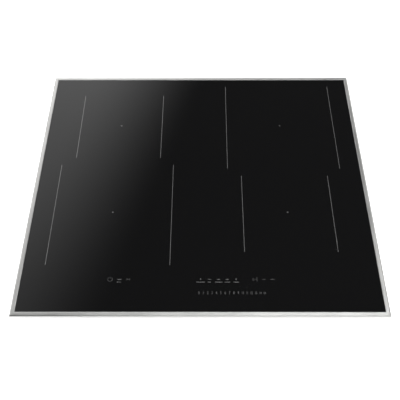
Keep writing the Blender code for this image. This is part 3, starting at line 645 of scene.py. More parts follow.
class GeometryRecipe:
    """A geometry node tree with named inputs, baked to a plain mesh."""

    def __init__(self, name: str) -> None:
        """Start an empty tree.

        Args:
            name: the tree's name.
        """
        self.tree = bpy.data.node_groups.new(name, "GeometryNodeTree")
        for way in ("INPUT", "OUTPUT"):
            self.tree.interface.new_socket("Geometry", in_out=way,
                                           socket_type="NodeSocketGeometry")
        self.keys: dict[str, str] = {}
        self.source = self.tree.nodes.new("NodeGroupInput")
        self.target = self.tree.nodes.new("NodeGroupOutput")

    def number(self, name: str, default: float) -> bpy.types.NodeSocket:
        """Add a named length, angle or count.

        Args:
            name: the input's name.
            default: its value unless a bake sets another.

        Returns:
            The socket that gives it inside the tree.
        """
        kind = "NodeSocketInt" if isinstance(default, int) else "NodeSocketFloat"
        made = self.tree.interface.new_socket(name, in_out="INPUT", socket_type=kind)
        made.default_value = default
        self.keys[name] = made.identifier
        return self.source.outputs[name]

    def node(self, kind: str, inputs: Optional[dict] = None, **settings) -> bpy.types.Node:
        """Add a node.

        Args:
            kind: the full node type.
            inputs: values or sockets for its inputs, by name or index.
            settings: attributes of the node.

        Returns:
            The new node.
        """
        made = self.tree.nodes.new(kind)
        for key, value in settings.items():
            setattr(made, key, value)
        for key, value in (inputs or {}).items():
            if isinstance(value, bpy.types.NodeSocket):
                self.tree.links.new(value, made.inputs[key])
            else:
                made.inputs[key].default_value = value
        return made

    def join(self, *sockets: bpy.types.NodeSocket) -> bpy.types.NodeSocket:
        """Join several geometries."""
        made = self.tree.nodes.new("GeometryNodeJoinGeometry")
        for socket in sockets:
            self.tree.links.new(socket, made.inputs[0])
        return made.outputs[0]

    def vector(self, x, y, z) -> bpy.types.NodeSocket:
        """A vector of three values or sockets."""
        return self.node("ShaderNodeCombineXYZ", {"X": x, "Y": y, "Z": z}).outputs[0]

    def math(self, operation: str, first, second=0.0) -> bpy.types.NodeSocket:
        """One arithmetic step on two values or sockets."""
        return self.node("ShaderNodeMath", {0: first, 1: second}, operation=operation).outputs[0]

    def tube(self, path: bpy.types.NodeSocket, radius, sides: int = 8,
             caps: bool = True) -> bpy.types.NodeSocket:
        """Sweep a round section along a curve.

        Args:
            path: the curve.
            radius: radius of the section, a value or socket.
            sides: sides of the section.
            caps: close open ends.

        Returns:
            The mesh socket.
        """
        ring = self.node("GeometryNodeCurvePrimitiveCircle", {"Resolution": sides,
                                                              "Radius": radius})
        return self.node("GeometryNodeCurveToMesh", {
            "Curve": path, "Profile Curve": ring.outputs[0], "Fill Caps": caps}).outputs[0]

    def domed(self, radius, height, sides: int, pull: float) -> bpy.types.NodeSocket:
        """A disc that stands on the origin and narrows towards its top.

        Args:
            radius: radius at the foot, a value or socket.
            height: its height, a value or socket.
            sides: sides of the disc.
            pull: share of the radius lost at the top.

        Returns:
            The mesh socket.
        """
        disc = self.node("GeometryNodeMeshCylinder", {"Vertices": sides, "Side Segments": 4,
                                                      "Radius": radius, "Depth": height})
        spot = self.node("GeometryNodeInputPosition").outputs[0]
        parts = self.node("ShaderNodeSeparateXYZ", {"Vector": spot}).outputs
        share = self.math("ADD", self.math("DIVIDE", parts["Z"], height), 0.5)
        loss = self.math("MULTIPLY", self.math("POWER", share, 3.0), pull)
        keep = self.math("SUBTRACT", 1.0, loss)
        place = self.vector(self.math("MULTIPLY", parts["X"], keep),
                            self.math("MULTIPLY", parts["Y"], keep),
                            self.math("MULTIPLY", share, height))
        return self.node("GeometryNodeSetPosition", {"Geometry": disc.outputs["Mesh"],
                                                     "Position": place}).outputs[0]

    def random(self, low: float, high: float, seed: int) -> bpy.types.NodeSocket:
        """A fixed-seed random number for each element."""
        made = self.node("FunctionNodeRandomValue", {2: low, 3: high, "Seed": seed},
                         data_type="FLOAT")
        return made.outputs[1]

    def scatter(self, piece: bpy.types.NodeSocket, turn_x=0.0, turn_y=0.0,
                spin=0.0) -> bpy.types.NodeSocket:
        """Set a copy of a piece on each seed point.

        Args:
            piece: the geometry to copy.
            turn_x: turn about X in radians, a value or socket.
            turn_y: turn about Y in radians, a value or socket.
            spin: turn about the copy's own Z, a value or socket.

        Returns:
            The instances.
        """
        points = self.node("GeometryNodeMeshToPoints", {"Mesh": self.source.outputs["Geometry"]})
        facing = self.node("FunctionNodeEulerToRotation", {0: self.vector(turn_x, turn_y, 0.0)})
        copies = self.node("GeometryNodeInstanceOnPoints", {
            "Points": points.outputs[0], "Instance": piece, "Rotation": facing.outputs[0]})
        own = self.node("FunctionNodeEulerToRotation", {0: self.vector(0.0, 0.0, spin)})
        return self.node("GeometryNodeRotateInstances", {
            "Instances": copies.outputs[0], "Rotation": own.outputs[0],
            "Local Space": True}).outputs[0]

    def end(self, geometry: bpy.types.NodeSocket, material: bpy.types.Material) -> None:
        """Close the tree with realised instances and a finish.

        Args:
            geometry: what the tree made.
            material: the finish of all of it.
        """
        real = self.node("GeometryNodeRealizeInstances", {"Geometry": geometry})
        dressed = self.node("GeometryNodeSetMaterial", {"Geometry": real.outputs[0],
                                                        "Material": material})
        self.tree.links.new(dressed.outputs[0], self.target.inputs[0])

    def bake(self, name: str, values: Optional[dict[str, float]] = None,
             seed: Optional[bpy.types.Mesh] = None, shift: Sequence[float] = (0, 0, 0),
             sharp: float = 32.0) -> bpy.types.Object:
        """Run the tree once and keep its result as a plain mesh.

        Args:
            name: the piece's name.
            values: inputs that differ from their defaults.
            seed: mesh that the tree starts from.
            shift: move applied to the result's vertices.
            sharp: edges bent by more than this many degrees stay sharp.

        Returns:
            The new object at the origin.
        """
        start = seed or bpy.data.meshes.new(name + "_seed")
        holder = bpy.data.objects.new(name + "_seed", start)
        bpy.context.scene.collection.objects.link(holder)
        modifier = holder.modifiers.new("recipe", "NODES")
        modifier.node_group = self.tree
        for key, value in (values or {}).items():
            modifier[self.keys[key]] = value
        bpy.context.view_layer.update()
        graph = bpy.context.evaluated_depsgraph_get()
        mesh = bpy.data.meshes.new_from_object(holder.evaluated_get(graph))
        bpy.data.objects.remove(holder)
        mesh.name = name
        mesh.transform(Matrix.Translation(shift))
        mesh.shade_smooth()
        mesh.set_sharp_from_angle(angle=math.radians(sharp))
        obj = bpy.data.objects.new(name, mesh)
        bpy.context.scene.collection.objects.link(obj)
        return obj


# --------------------------------------------------------------------- frame and glass
@dataclass
class SteelFrame:
    """Four mitred rails round the glass."""

    finish: BrushedSteel
    slope_width: float = 0.0024
    slope_angle: float = 25.5
    outer_round: float = 0.0007
    lip: float = 0.0008
    lip_drop: float = 0.0002
    shelf: float = 0.0012
    mitre_gap: float = 0.00006
    arc_steps: int = 5
    fit: float = 0.0003

    def section(self, face: float, height: float, reach: float) -> list[Point2]:
        """Section of a rail: first number inward from the outer face, second up.

        Args:
            face: width of the visible top.
            height: height of the rail.
            reach: width with the ledge under the glass.

        Returns:
            Points round the section.
        """
        angle, radius = math.radians(self.slope_angle), self.outer_round
        run = self.slope_width - radius * (1 - math.sin(angle))
        middle = height - run * math.tan(angle) - radius * math.cos(angle)
        outer = arc(radius, middle, radius, 180, 90 + self.slope_angle, self.arc_steps)
        inner = [(face - self.lip, height), (face - self.lip * 0.2, height - self.lip_drop),
                 (face, height - self.lip_drop * 2)]
        return [(reach, 0.0), (0.0, 0.0), *outer, (self.slope_width, height), *inner,
                (face, self.shelf), (reach, self.shelf)]

    def rail(self, side: Side, frame: Box, glass: Box) -> bmesh.types.BMesh:
        """Sweep the section along one side, with mitred ends.

        Args:
            side: which rail.
            frame: box of the whole frame.
            glass: box of the glass.

        Returns:
            The rail's mesh, with its length along U in metres.
        """
        across = side in (Side.FRONT, Side.BACK)
        half_length = frame.size.x / 2 if across else frame.size.y / 2
        distance = frame.size.y / 2 if across else frame.size.x / 2
        reach = Box.of(f"frame_{side.name.lower()}").size[1 if across else 0]
        face = glass.low.x - frame.low.x - self.fit
        points = self.section(face, frame.size.z, reach)
        turn = Matrix.Rotation(side.value * math.pi / 2, 3, "Z")
        body = bmesh.new()
        uv = body.loops.layers.uv.new("rail")
        rings = []
        for end in (-1, 1):
            ring = []
            for inward, up in points:
                along = end * (half_length - inward - self.mitre_gap)
                spot = turn @ Vector((along, inward - distance, 0.0))
                ring.append(body.verts.new((spot.x, spot.y, frame.low.z + up)))
            rings.append(ring)
        run = [0.0]
        for first, second in zip(points, points[1:] + points[:1]):
            run.append(run[-1] + math.dist(first, second))
        count = len(points)
        for i in range(count):
            j = (i + 1) % count
            quad = body.faces.new((rings[0][i], rings[1][i], rings[1][j], rings[0][j]))
            spots = ((-half_length, run[i]), (half_length, run[i]), (half_length, run[i + 1]),
                     (-half_length, run[i + 1]))
            for loop, spot in zip(quad.loops, spots):
                loop[uv].uv = (spot[0] + side.value, spot[1])
        body.faces.new(rings[0])
        body.faces.new(list(reversed(rings[1])))
        bmesh.ops.recalc_face_normals(body, faces=body.faces)
        return body

    def build(self) -> None:
        """Make the four rails."""
        nodes = [f"frame_{side.name.lower()}" for side in Side]
        frame, glass = Box.of(*nodes), Box.of("glass_top")
        material = self.finish.material()
        for side in Side:
            node = f"frame_{side.name.lower()}"
            obj = object_from(f"rail_{side.name.lower()}", self.rail(side, frame, glass), material,
                              20, 0.0017)
            adopt(obj, Body.HOUSING, [node])


@dataclass
class GlassTop:
    """The cooking surface and the dark seam round it."""

    glass: BlackGlass
    seam: Moulded
    edge: float = 0.0004
    seam_drop: float = 0.00055
    seam_bite: float = 0.0001
    fit: float = 0.0003

    def build(self) -> None:
        """Make the plate with a pencilled edge, then the seam."""
        box = Box.of("glass_top")
        body = bmesh.new()
        add_box(body, box.low, box.high)
        bmesh.ops.bevel(body, geom=body.edges[:], offset=self.edge, segments=3, profile=0.5,
                        affect="EDGES")
        adopt(object_from("glass_plate", body, self.glass.material(), 60), Body.HOUSING,
              ["glass_top"])
        ring = bmesh.new()
        top = box.high.z - self.seam_drop
        grow = self.fit + self.seam_bite
        outer = (box.high.x + grow, box.high.y + grow)
        inner = (box.high.x - self.seam_bite, box.high.y - self.seam_bite)
        middle = [((a + b) / 2) for a, b in zip(outer, inner)]
        corners = [(-middle[0], -middle[1]), (middle[0], -middle[1]), (middle[0], middle[1]),
                   (-middle[0], middle[1])]
        add_stroke(ring, corners, outer[0] - inner[0], box.low.z, top, closed=True)
        bmesh.ops.recalc_face_normals(ring, faces=ring.faces)
        adopt(object_from("glass_seam", ring, self.seam.material()), Body.HOUSING)


# ---------------------------------------------------------------------- printed marks
@dataclass
class ZoneMarks:
    """Two side lines and a centre dot for each cooking zone."""

    material: bpy.types.Material
    line: float = 0.0009
    dot: float = 0.0013
    raised: float = 0.00003
    sunk: float = 0.00001
    coil_margin: float = 0.00915
    towards_middle: float = 0.0005
    aside: float = -0.0003

    def recipe(self) -> GeometryRecipe:
        """Tree that draws one zone round the origin."""
        tree = GeometryRecipe("zone_marks")
        size = tree.number("Zone Size", 0.2)
        line = tree.number("Line Width", self.line)
        dot = tree.number("Dot Radius", self.dot)
        raised = tree.number("Thickness", self.raised + self.sunk)
        strip = tree.node("GeometryNodeMeshCube", {"Size": tree.vector(line, size, raised)})
        half = tree.math("MULTIPLY", size, 0.5)
        sides = []
        for sign in (-1.0, 1.0):
            reach = tree.vector(tree.math("MULTIPLY", half, sign), 0.0, 0.0)
            sides.append(tree.node("GeometryNodeTransform", {
                "Geometry": strip.outputs["Mesh"], "Translation": reach}).outputs[0])
        disc = tree.node("GeometryNodeMeshCylinder", {"Vertices": 24, "Radius": dot,
                                                      "Depth": raised})
        tree.end(tree.join(*sides, disc.outputs["Mesh"]), self.material)
        return tree

    def build(self) -> None:
        """Print the marks of all four zones."""
        tree = self.recipe()
        surface = Box.of("glass_top").high.z
        height = surface + (self.raised - self.sunk) / 2
        for zone in ZONES:
            winding = Box.of(f"coil_winding_{zone}")
            size = winding.size.x + 2 * self.coil_margin
            x = winding.centre.x + self.aside - math.copysign(self.towards_middle,
                                                              winding.centre.x)
            obj = tree.bake(f"zone_marks_{zone}", {"Zone Size": size},
                            shift=(x, winding.centre.y, height))
            adopt(obj, Body.HOUSING)


class Symbol(Enum):
    """Printed signs of the touch keys."""

    RING = "ring"
    BAR = "bar"
    BOW = "bow"
    DOT = "dot"
    SLANT = "slant"
    LABEL = "label"
    CLOCK = "clock"
    MINUS = "minus"
    PLUS = "plus"


@dataclass(frozen=True)
class Key:
    """One printed sign: what it is, where it is and how wide."""

    symbol: Symbol
    x: float
    width: float
    row: float = 0.0


@dataclass
class TouchControls:
    """Signs of the touch keys and the slider's scale, printed on the glass."""

    sign: bpy.types.Material
    label: bpy.types.Material
    faint: bpy.types.Material
    row: float = 0.0568             # front edge of the glass to the row of signs
    label_drop: float = 0.0051
    scale_row: float = 0.0324
    scale_start: float = -0.0018
    scale_pitch: float = 0.0071
    digit: float = 0.0050
    levels: int = 15
    stroke: float = 0.00055
    label_stroke: float = 0.0010
    raised: float = 0.00003
    sunk: float = 0.00001
    keys: tuple[Key, ...] = (
        Key(Symbol.RING, -0.1480, 0.0076),
        Key(Symbol.BAR, -0.1325, 0.0080),
        Key(Symbol.BOW, -0.1180, 0.0064),
        Key(Symbol.DOT, 0.0008, 0.0028),
        Key(Symbol.SLANT, 0.0157, 0.0060),
        Key(Symbol.BAR, 0.0301, 0.0058),
        Key(Symbol.BAR, 0.0445, 0.0056),
        Key(Symbol.DOT, 0.0592, 0.0034),
        Key(Symbol.LABEL, -0.1331, 0.0074, 1.0),
        Key(Symbol.LABEL, 0.0010, 0.0136, 1.0),
        Key(Symbol.LABEL, 0.0152, 0.0062, 1.0),
        Key(Symbol.LABEL, 0.0306, 0.0124, 1.0),
        Key(Symbol.LABEL, 0.0447, 0.0094, 1.0),
        Key(Symbol.LABEL, 0.0592, 0.0092, 1.0),
        Key(Symbol.CLOCK, 0.0898, 0.0072),
        Key(Symbol.MINUS, 0.1050, 0.0052),
        Key(Symbol.PLUS, 0.1190, 0.0072),
    )

    def strokes(self, key: Key, y: float) -> list[tuple[list[Point2], bool]]:
        """Lines of one sign.

        Args:
            key: the sign.
            y: height of its row on the glass.

        Returns:
            Each line's points, and whether it is closed.
        """
        half, x = key.width / 2, key.x
        if key.symbol is Symbol.RING:
            return [(arc(x, y, half, 125, 415, 22), False),
                    ([(x, y + half * 0.35), (x, y + half * 1.15)], False)]
        if key.symbol is Symbol.BAR:
            return [([(x - half, y), (x + half, y)], False),
                    ([(x - half * 0.5, y - 0.0009), (x + half * 0.5, y - 0.0009)], False)]
        if key.symbol is Symbol.BOW:
            rise = half * 0.55
            return [([(x + side * half, y + rise), (x + side * self.stroke, y),
                      (x + side * half, y - rise)], False) for side in (-1, 1)]
        if key.symbol is Symbol.DOT:
            return [(arc(x, y, half * 0.5, 0, 330, 11), True),
                    ([(x, y + half * 0.6), (x, y + half * 1.2)], False)]
        if key.symbol is Symbol.SLANT:
            return [([(x - half, y + 0.0008), (x - half * 0.3, y - 0.0004), (x + half, y - 0.0002)],
                     False)]
        if key.symbol is Symbol.CLOCK:
            return [(arc(x - half * 0.35, y, half * 0.6, 90, 270, 12), False),
                    ([(x + half, y + half * 1.1), (x + half, y - half * 1.1)], False),
                    ([(x - half * 0.1, y), (x + half * 0.5, y)], False)]
        if key.symbol is Symbol.LABEL:
            dash, gap = 0.0014, 0.0004
            count = max(2, round(key.width / (dash + gap)))
            starts = [x + (i - count / 2) * (dash + gap) + gap / 2 for i in range(count)]
            return [([(start, y), (start + dash, y)], False) for start in starts]
        level = [([(x - half, y), (x + half, y)], False)]
        if key.symbol is Symbol.PLUS:
            level.append(([(x, y + 0.0007), (x, y - 0.0007)], False))
        return level

    def places(self) -> list[float]:
        """Where along X the touch keys are."""
        return [key.x for key in self.keys if not key.row]

    def print_keys(self, name: str, symbols: set[Symbol], width: float,
                   material: bpy.types.Material) -> None:
        """Print every key of some kinds as one piece.

        Args:
            name: the piece's name.
            symbols: the kinds it takes.
            width: stroke width.
            material: its finish.
        """
        glass = Box.of("glass_top")
        bottom, top = glass.high.z - self.sunk, glass.high.z + self.raised
        body = bmesh.new()
        for key in self.keys:
            if key.symbol not in symbols:
                continue
            y = glass.low.y + self.row - key.row * self.label_drop
            for points, closed in self.strokes(key, y):
                add_stroke(body, points, width, bottom, top, closed)
        bmesh.ops.recalc_face_normals(body, faces=body.faces)
        adopt(object_from(name, body, material), Body.HOUSING)

    def scale(self, front: float, bottom: float) -> bmesh.types.BMesh:
        """Digits of the slider, with a double chevron for the boost step.

        Args:
            front: front edge of the glass.
            bottom: lower face of the print.

        Returns:
            The mesh of all of them.
        """
        body = bmesh.new()
        y = front + self.scale_row
        for level in range(self.levels):
            text = bpy.data.curves.new("level", "FONT")
            text.body = str(level)
            text.size = self.digit / 0.7
            text.align_x = "CENTER"
            text.align_y = "CENTER"
            text.resolution_u = 2
            text.extrude = (self.raised + self.sunk) / 2
            holder = bpy.data.objects.new("level", text)
            bpy.context.scene.collection.objects.link(holder)
            bpy.context.view_layer.update()
            graph = bpy.context.evaluated_depsgraph_get()
            mesh = bpy.data.meshes.new_from_object(holder.evaluated_get(graph))
            narrow = 0.55 if level > 9 else 0.72
            x = self.scale_start + level * self.scale_pitch
            z = bottom + (self.raised + self.sunk) / 2
            mesh.transform(Matrix.Translation((x, y, z)) @ Matrix.Diagonal((narrow, 1, 1, 1)))
            body.from_mesh(mesh)
            bpy.data.objects.remove(holder)
            bpy.data.curves.remove(text)
            bpy.data.meshes.remove(mesh)
        bmesh.ops.remove_doubles(body, verts=body.verts, dist=0.000002)
        x = self.scale_start + self.levels * self.scale_pitch
        top = bottom + self.raised + self.sunk
        for lift in (-0.0008, 0.0008):
            points = [(x - 0.0018, y + lift - 0.0008), (x, y + lift + 0.0008),
                      (x + 0.0018, y + lift - 0.0008)]
            add_stroke(body, points, self.stroke, bottom, top)
        return body

    def build(self) -> None:
        """Print the signs and the scale."""
        faint = {Symbol.RING, Symbol.BOW, Symbol.CLOCK}
        plain = set(Symbol) - faint - {Symbol.LABEL}
        self.print_keys("key_signs", plain, self.stroke, self.sign)
        self.print_keys("key_signs_faint", faint, self.stroke, self.faint)
        self.print_keys("key_labels", {Symbol.LABEL}, self.label_stroke, self.label)
        glass = Box.of("glass_top")
        digits = self.scale(glass.low.y, glass.high.z - self.sunk)
        bmesh.ops.recalc_face_normals(digits, faces=digits.faces)
        adopt(object_from("slider_scale", digits, self.faint), Body.HOUSING)


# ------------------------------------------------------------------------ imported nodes
class Wardrobe:
    """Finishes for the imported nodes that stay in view, by their material slot."""

    def __init__(self) -> None:
        """Build one material for each slot."""
        slots = {
            "seal_foam": Moulded("seal_foam", (0.03, 0.03, 0.03), 0.8, 0.95, 900.0, 0.0002),
            "bond_silicone": Moulded("bond_silicone", (0.012, 0.012, 0.012), 0.5, 0.65),
            "tray_steel": SheetMetal("zinc_sheet", (0.29, 0.30, 0.31), 0.36, 0.54),
            "mica": Flecked(),
            "litz_copper": Stranded(),
            "coil_plastic": Moulded("coil_plastic", (0.028, 0.028, 0.03)),
            "sensor_silicone": Moulded("sensor_silicone", (0.56, 0.54, 0.47), 0.5, 0.7),
            "bridge_aluminium": SheetMetal("bridge_sheet", (0.72, 0.72, 0.73), 0.3, 0.42, 30.0,
                                           0.06),
            "fan_plastic": Moulded("fan_plastic", (0.02, 0.02, 0.021)),
            "rotor_plastic": Moulded("rotor_plastic", (0.035, 0.035, 0.038), 0.3, 0.45),
            "circuit_board": SolderMask(),
            "sink_aluminium": SheetMetal("sink_aluminium", (0.68, 0.68, 0.69), 0.28, 0.4, 50.0,
                                         0.05),
            "capacitor_plastic": Moulded("capacitor_case", (0.04, 0.10, 0.30), 0.25, 0.35),
            "choke_winding": Stranded("choke_wire", (0.55, 0.19, 0.07), 1800.0),
            "carrier_plastic": Moulded("carrier_plastic", (0.50, 0.50, 0.48), 0.5, 0.65),
            "light_guide": Moulded("light_guide", (0.72, 0.72, 0.72), 0.2, 0.3),
            "cover_plastic": Moulded("cover_plastic", (0.03, 0.03, 0.03), 0.5, 0.65),
            "terminal_plastic": Moulded("terminal_plastic", (0.55, 0.52, 0.45), 0.4, 0.55),
            "plated_steel": SheetMetal("plated_steel", (0.56, 0.56, 0.54), 0.22, 0.36, 260.0,
                                       0.08),
            "grommet_rubber": Moulded("grommet_rubber", (0.015, 0.015, 0.015), 0.6, 0.8),
        }
        self.materials: dict[str, bpy.types.Material] = {
            slot: finish.material() for slot, finish in slots.items()}

    def dress(self, frame: dict) -> None:
        """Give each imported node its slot's finish.
        """
        slots = {part["node"]: part["material_slot"] for part in frame["record"]["subparts"]}
        for name, obj in frame["nodes"].items():
            material = self.materials.get(slots[name])
            if material is None:
                continue
            obj.data.materials.clear()
            obj.data.materials.append(material)
        LOG.info("dressed %d packed nodes", len(frame["nodes"]))


class SoftEdges:
    """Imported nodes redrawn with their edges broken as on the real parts."""

    ROUNDS: ClassVar[dict[str, float]] = {
        "bottom_tray": 0.00035, "worktop_clamp": 0.0003, "terminal_box": 0.0003,
        "terminal_cover": 0.00025, "terminal_block": 0.0004, "cord_grip": 0.0005,
        "coil_carrier": 0.0004, "coil_bridge": 0.0003, "board_carrier": 0.0003,
        "control_carrier": 0.0003, "fan_housing": 0.0004, "fan_rotor": 0.0002,
        "heat_sink": 0.00025, "power_capacitor": 0.0012, "filter_capacitor": 0.0008,
        "slider_light_guide": 0.0005, "temperature_sensor": 0.0004, "cable_grommet": 0.0004,
        "power_board": 0.00015, "filter_board": 0.00015, "control_board": 0.00015,
    }

    HINGE_PIN: ClassVar[str] = "terminal_cover_pin"
    MERGE: ClassVar[float] = 0.000001
    SLIVER: ClassVar[float] = 0.000002
    FLAT: ClassVar[float] = math.radians(0.5)

    def __init__(self, frame: dict, wardrobe: Wardrobe, corner: float = 35.0,
                 segments: int = 2) -> None:
        """Keep what the redrawing needs.

        Args:
            wardrobe: finishes by slot.
            corner: edges bent by more than this many degrees are rounded.
            segments: steps of each rounding.
        """
        self.nodes = frame["nodes"]
        record = frame["record"]
        self.slots = {part["node"]: part["material_slot"] for part in record["subparts"]}
        self.bodies = {node: Body(body) for body, nodes in record["behaviour"]["bodies"].items()
                       for node in nodes}
        self.wardrobe = wardrobe
        self.corner = math.radians(corner)
        self.segments = segments

    def softened(self, node: str, size: float) -> bmesh.types.BMesh:
        """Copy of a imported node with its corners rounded.

        Args:
            node: the node's name.
            size: width of the rounding.

        Returns:
            The mesh, left with sharp corners where rounding would tear it.
        """
        source = self.nodes[node]
        body = bmesh.new()
        body.from_mesh(source.data)
        body.transform(source.matrix_world)
        bmesh.ops.remove_doubles(body, verts=body.verts, dist=self.MERGE)
        bmesh.ops.dissolve_limit(body, angle_limit=self.FLAT, verts=body.verts,
                                 edges=body.edges)
        plain = body.copy()
        sharp = [edge for edge in body.edges
                 if edge.is_manifold and edge.calc_face_angle(0.0) > self.corner]
        bmesh.ops.bevel(body, geom=sharp, offset=size, segments=self.segments, profile=0.5,
                        affect="EDGES", clamp_overlap=True)
        bmesh.ops.dissolve_degenerate(body, dist=self.SLIVER, edges=body.edges)
        if all(edge.is_manifold for edge in body.edges):
            plain.free()
            return body
        LOG.info("%s keeps its sharp corners", node)
        body.free()
        return plain

    def build(self) -> None:
        """Redraw every node whose name starts with one of the listed names."""
        for node in sorted(self.nodes):
            size = next((size for start, size in self.ROUNDS.items()
                         if node == start or node.startswith(start + "_")), None)
            if size is None or node == self.HINGE_PIN:
                continue
            slot = self.slots[node]
            obj = object_from(f"{node}_part", self.softened(node, size),
                              self.wardrobe.materials[slot])
            adopt(obj, self.bodies[node], [node])


@dataclass(frozen=True)
class ScrewHead:
    """Size of one kind of screw head."""

    radius: float
    height: float
    recess: float


@dataclass
class Screws:
    """Cross-recess screw heads."""

    material: bpy.types.Material
    flush: ScrewHead = ScrewHead(0.0030, 0.0002, 0.00015)
    wall: ScrewHead = ScrewHead(0.0032, 0.0016, 0.0009)
    board: ScrewHead = ScrewHead(0.0028, 0.0015, 0.0009)
    terminal: ScrewHead = ScrewHead(0.0032, 0.0012, 0.0008)
    clamp: ScrewHead = ScrewHead(0.0041, 0.0004, 0.00035)
    board_inset: float = 0.0045
    carrier_inset: float = 0.006
    control_inset: float = 0.008
    wall_height: float = 0.040
    wall_reach: Point2 = (0.19, 0.2)        # from the middle, on the sides and on front and back
    flange: float = 0.011
    terminal_pitch: float = 0.0115
    terminals_aside: int = 2

    def recipe(self) -> GeometryRecipe:
        """Tree that sets one domed head on each seed point."""
        tree = GeometryRecipe("cross_screws")
        radius = tree.number("Head Radius", 0.003)
        height = tree.number("Head Height", 0.0016)
        depth = tree.number("Recess Depth", 0.0008)
        turn_x = tree.number("Turn X", 0.0)
        turn_y = tree.number("Turn Y", 0.0)
        head = tree.domed(radius, height, 20, 0.22)
        long, short = tree.math("MULTIPLY", radius, 1.05), tree.math("MULTIPLY", radius, 0.24)
        tall = tree.math("MULTIPLY", depth, 2.0)
        blades = []
        for size in (tree.vector(long, short, tall), tree.vector(short, long, tall)):
            blade = tree.node("GeometryNodeMeshCube", {"Size": size}).outputs["Mesh"]
            blades.append(tree.node("GeometryNodeTransform", {
                "Geometry": blade, "Translation": tree.vector(0.0, 0.0, height)}).outputs[0])
        cut = tree.node("GeometryNodeMeshBoolean", {
            "Mesh 1": head, "Mesh 2": tree.join(*blades), "Self Intersection": True},
            operation="DIFFERENCE", solver="EXACT")
        spin = tree.random(0.0, 1.5, 4)
        tree.end(tree.scatter(cut.outputs[0], turn_x, turn_y, spin), self.material)
        return tree

    def corners(self, node: str, inset: float, z: float) -> list[Point3]:
        """Four points near the corners of a node."""
        box = Box.of(node)
        return [(x, y, z) for x in (box.low.x + inset, box.high.x - inset)
                for y in (box.low.y + inset, box.high.y - inset)]

    def build(self) -> None:
        """Set the screws of the tray, the boards, the clamps and the terminals."""
        tray, block = Box.of("bottom_tray"), Box.of("terminal_block")
        side, end = tray.high.x - self.flange, tray.high.y - self.flange
        below = [spot for hand in HANDS for node in ("board_carrier", "fan_housing")
                 for spot in self.corners(f"{node}_{hand}", self.carrier_inset, 0.0)]
        below += self.corners("control_carrier", self.control_inset, 0.0)
        boards = [spot for board in ("power_board_left", "power_board_right", "filter_board",
                                     "control_board")
                  for spot in self.corners(board, self.board_inset, Box.of(board).high.z)]
        terminals = [(block.centre.x + self.terminal_pitch * i, block.centre.y, block.low.z)
                     for i in range(-self.terminals_aside, self.terminals_aside + 1)]
        pivots = [Box.of(f"clamp_screw_{zone}") for zone in ZONES]
        clamps = [(*pivot.centre.xy, pivot.low.z) for pivot in pivots]
        along_y, along_x = ([-reach, 0.0, reach] for reach in self.wall_reach)
        rows = (
            ("screws_below", below, Facing.DOWN, self.flush),
            ("screws_front", [(x, -end, self.wall_height) for x in along_x], Facing.FRONT,
             self.wall),
            ("screws_back", [(x, end, self.wall_height) for x in along_x], Facing.BACK,
             self.wall),
            ("screws_left", [(-side, y, self.wall_height) for y in along_y], Facing.LEFT,
             self.wall),
            ("screws_right", [(side, y, self.wall_height) for y in along_y], Facing.RIGHT,
             self.wall),
            ("board_screws", boards, Facing.UP, self.board),
            ("terminal_screws", terminals, Facing.DOWN, self.terminal),
            ("clamp_screw_heads", clamps, Facing.DOWN, self.clamp),
        )
        tree = self.recipe()
        for name, points, facing, head in rows:
            turn_x, turn_y = (math.radians(turn) for turn in facing.value)
            obj = tree.bake(name, {"Head Radius": head.radius, "Head Height": head.height,
                                   "Recess Depth": head.recess, "Turn X": turn_x,
                                   "Turn Y": turn_y}, seeds(points))
            adopt(obj, Body.HOUSING)


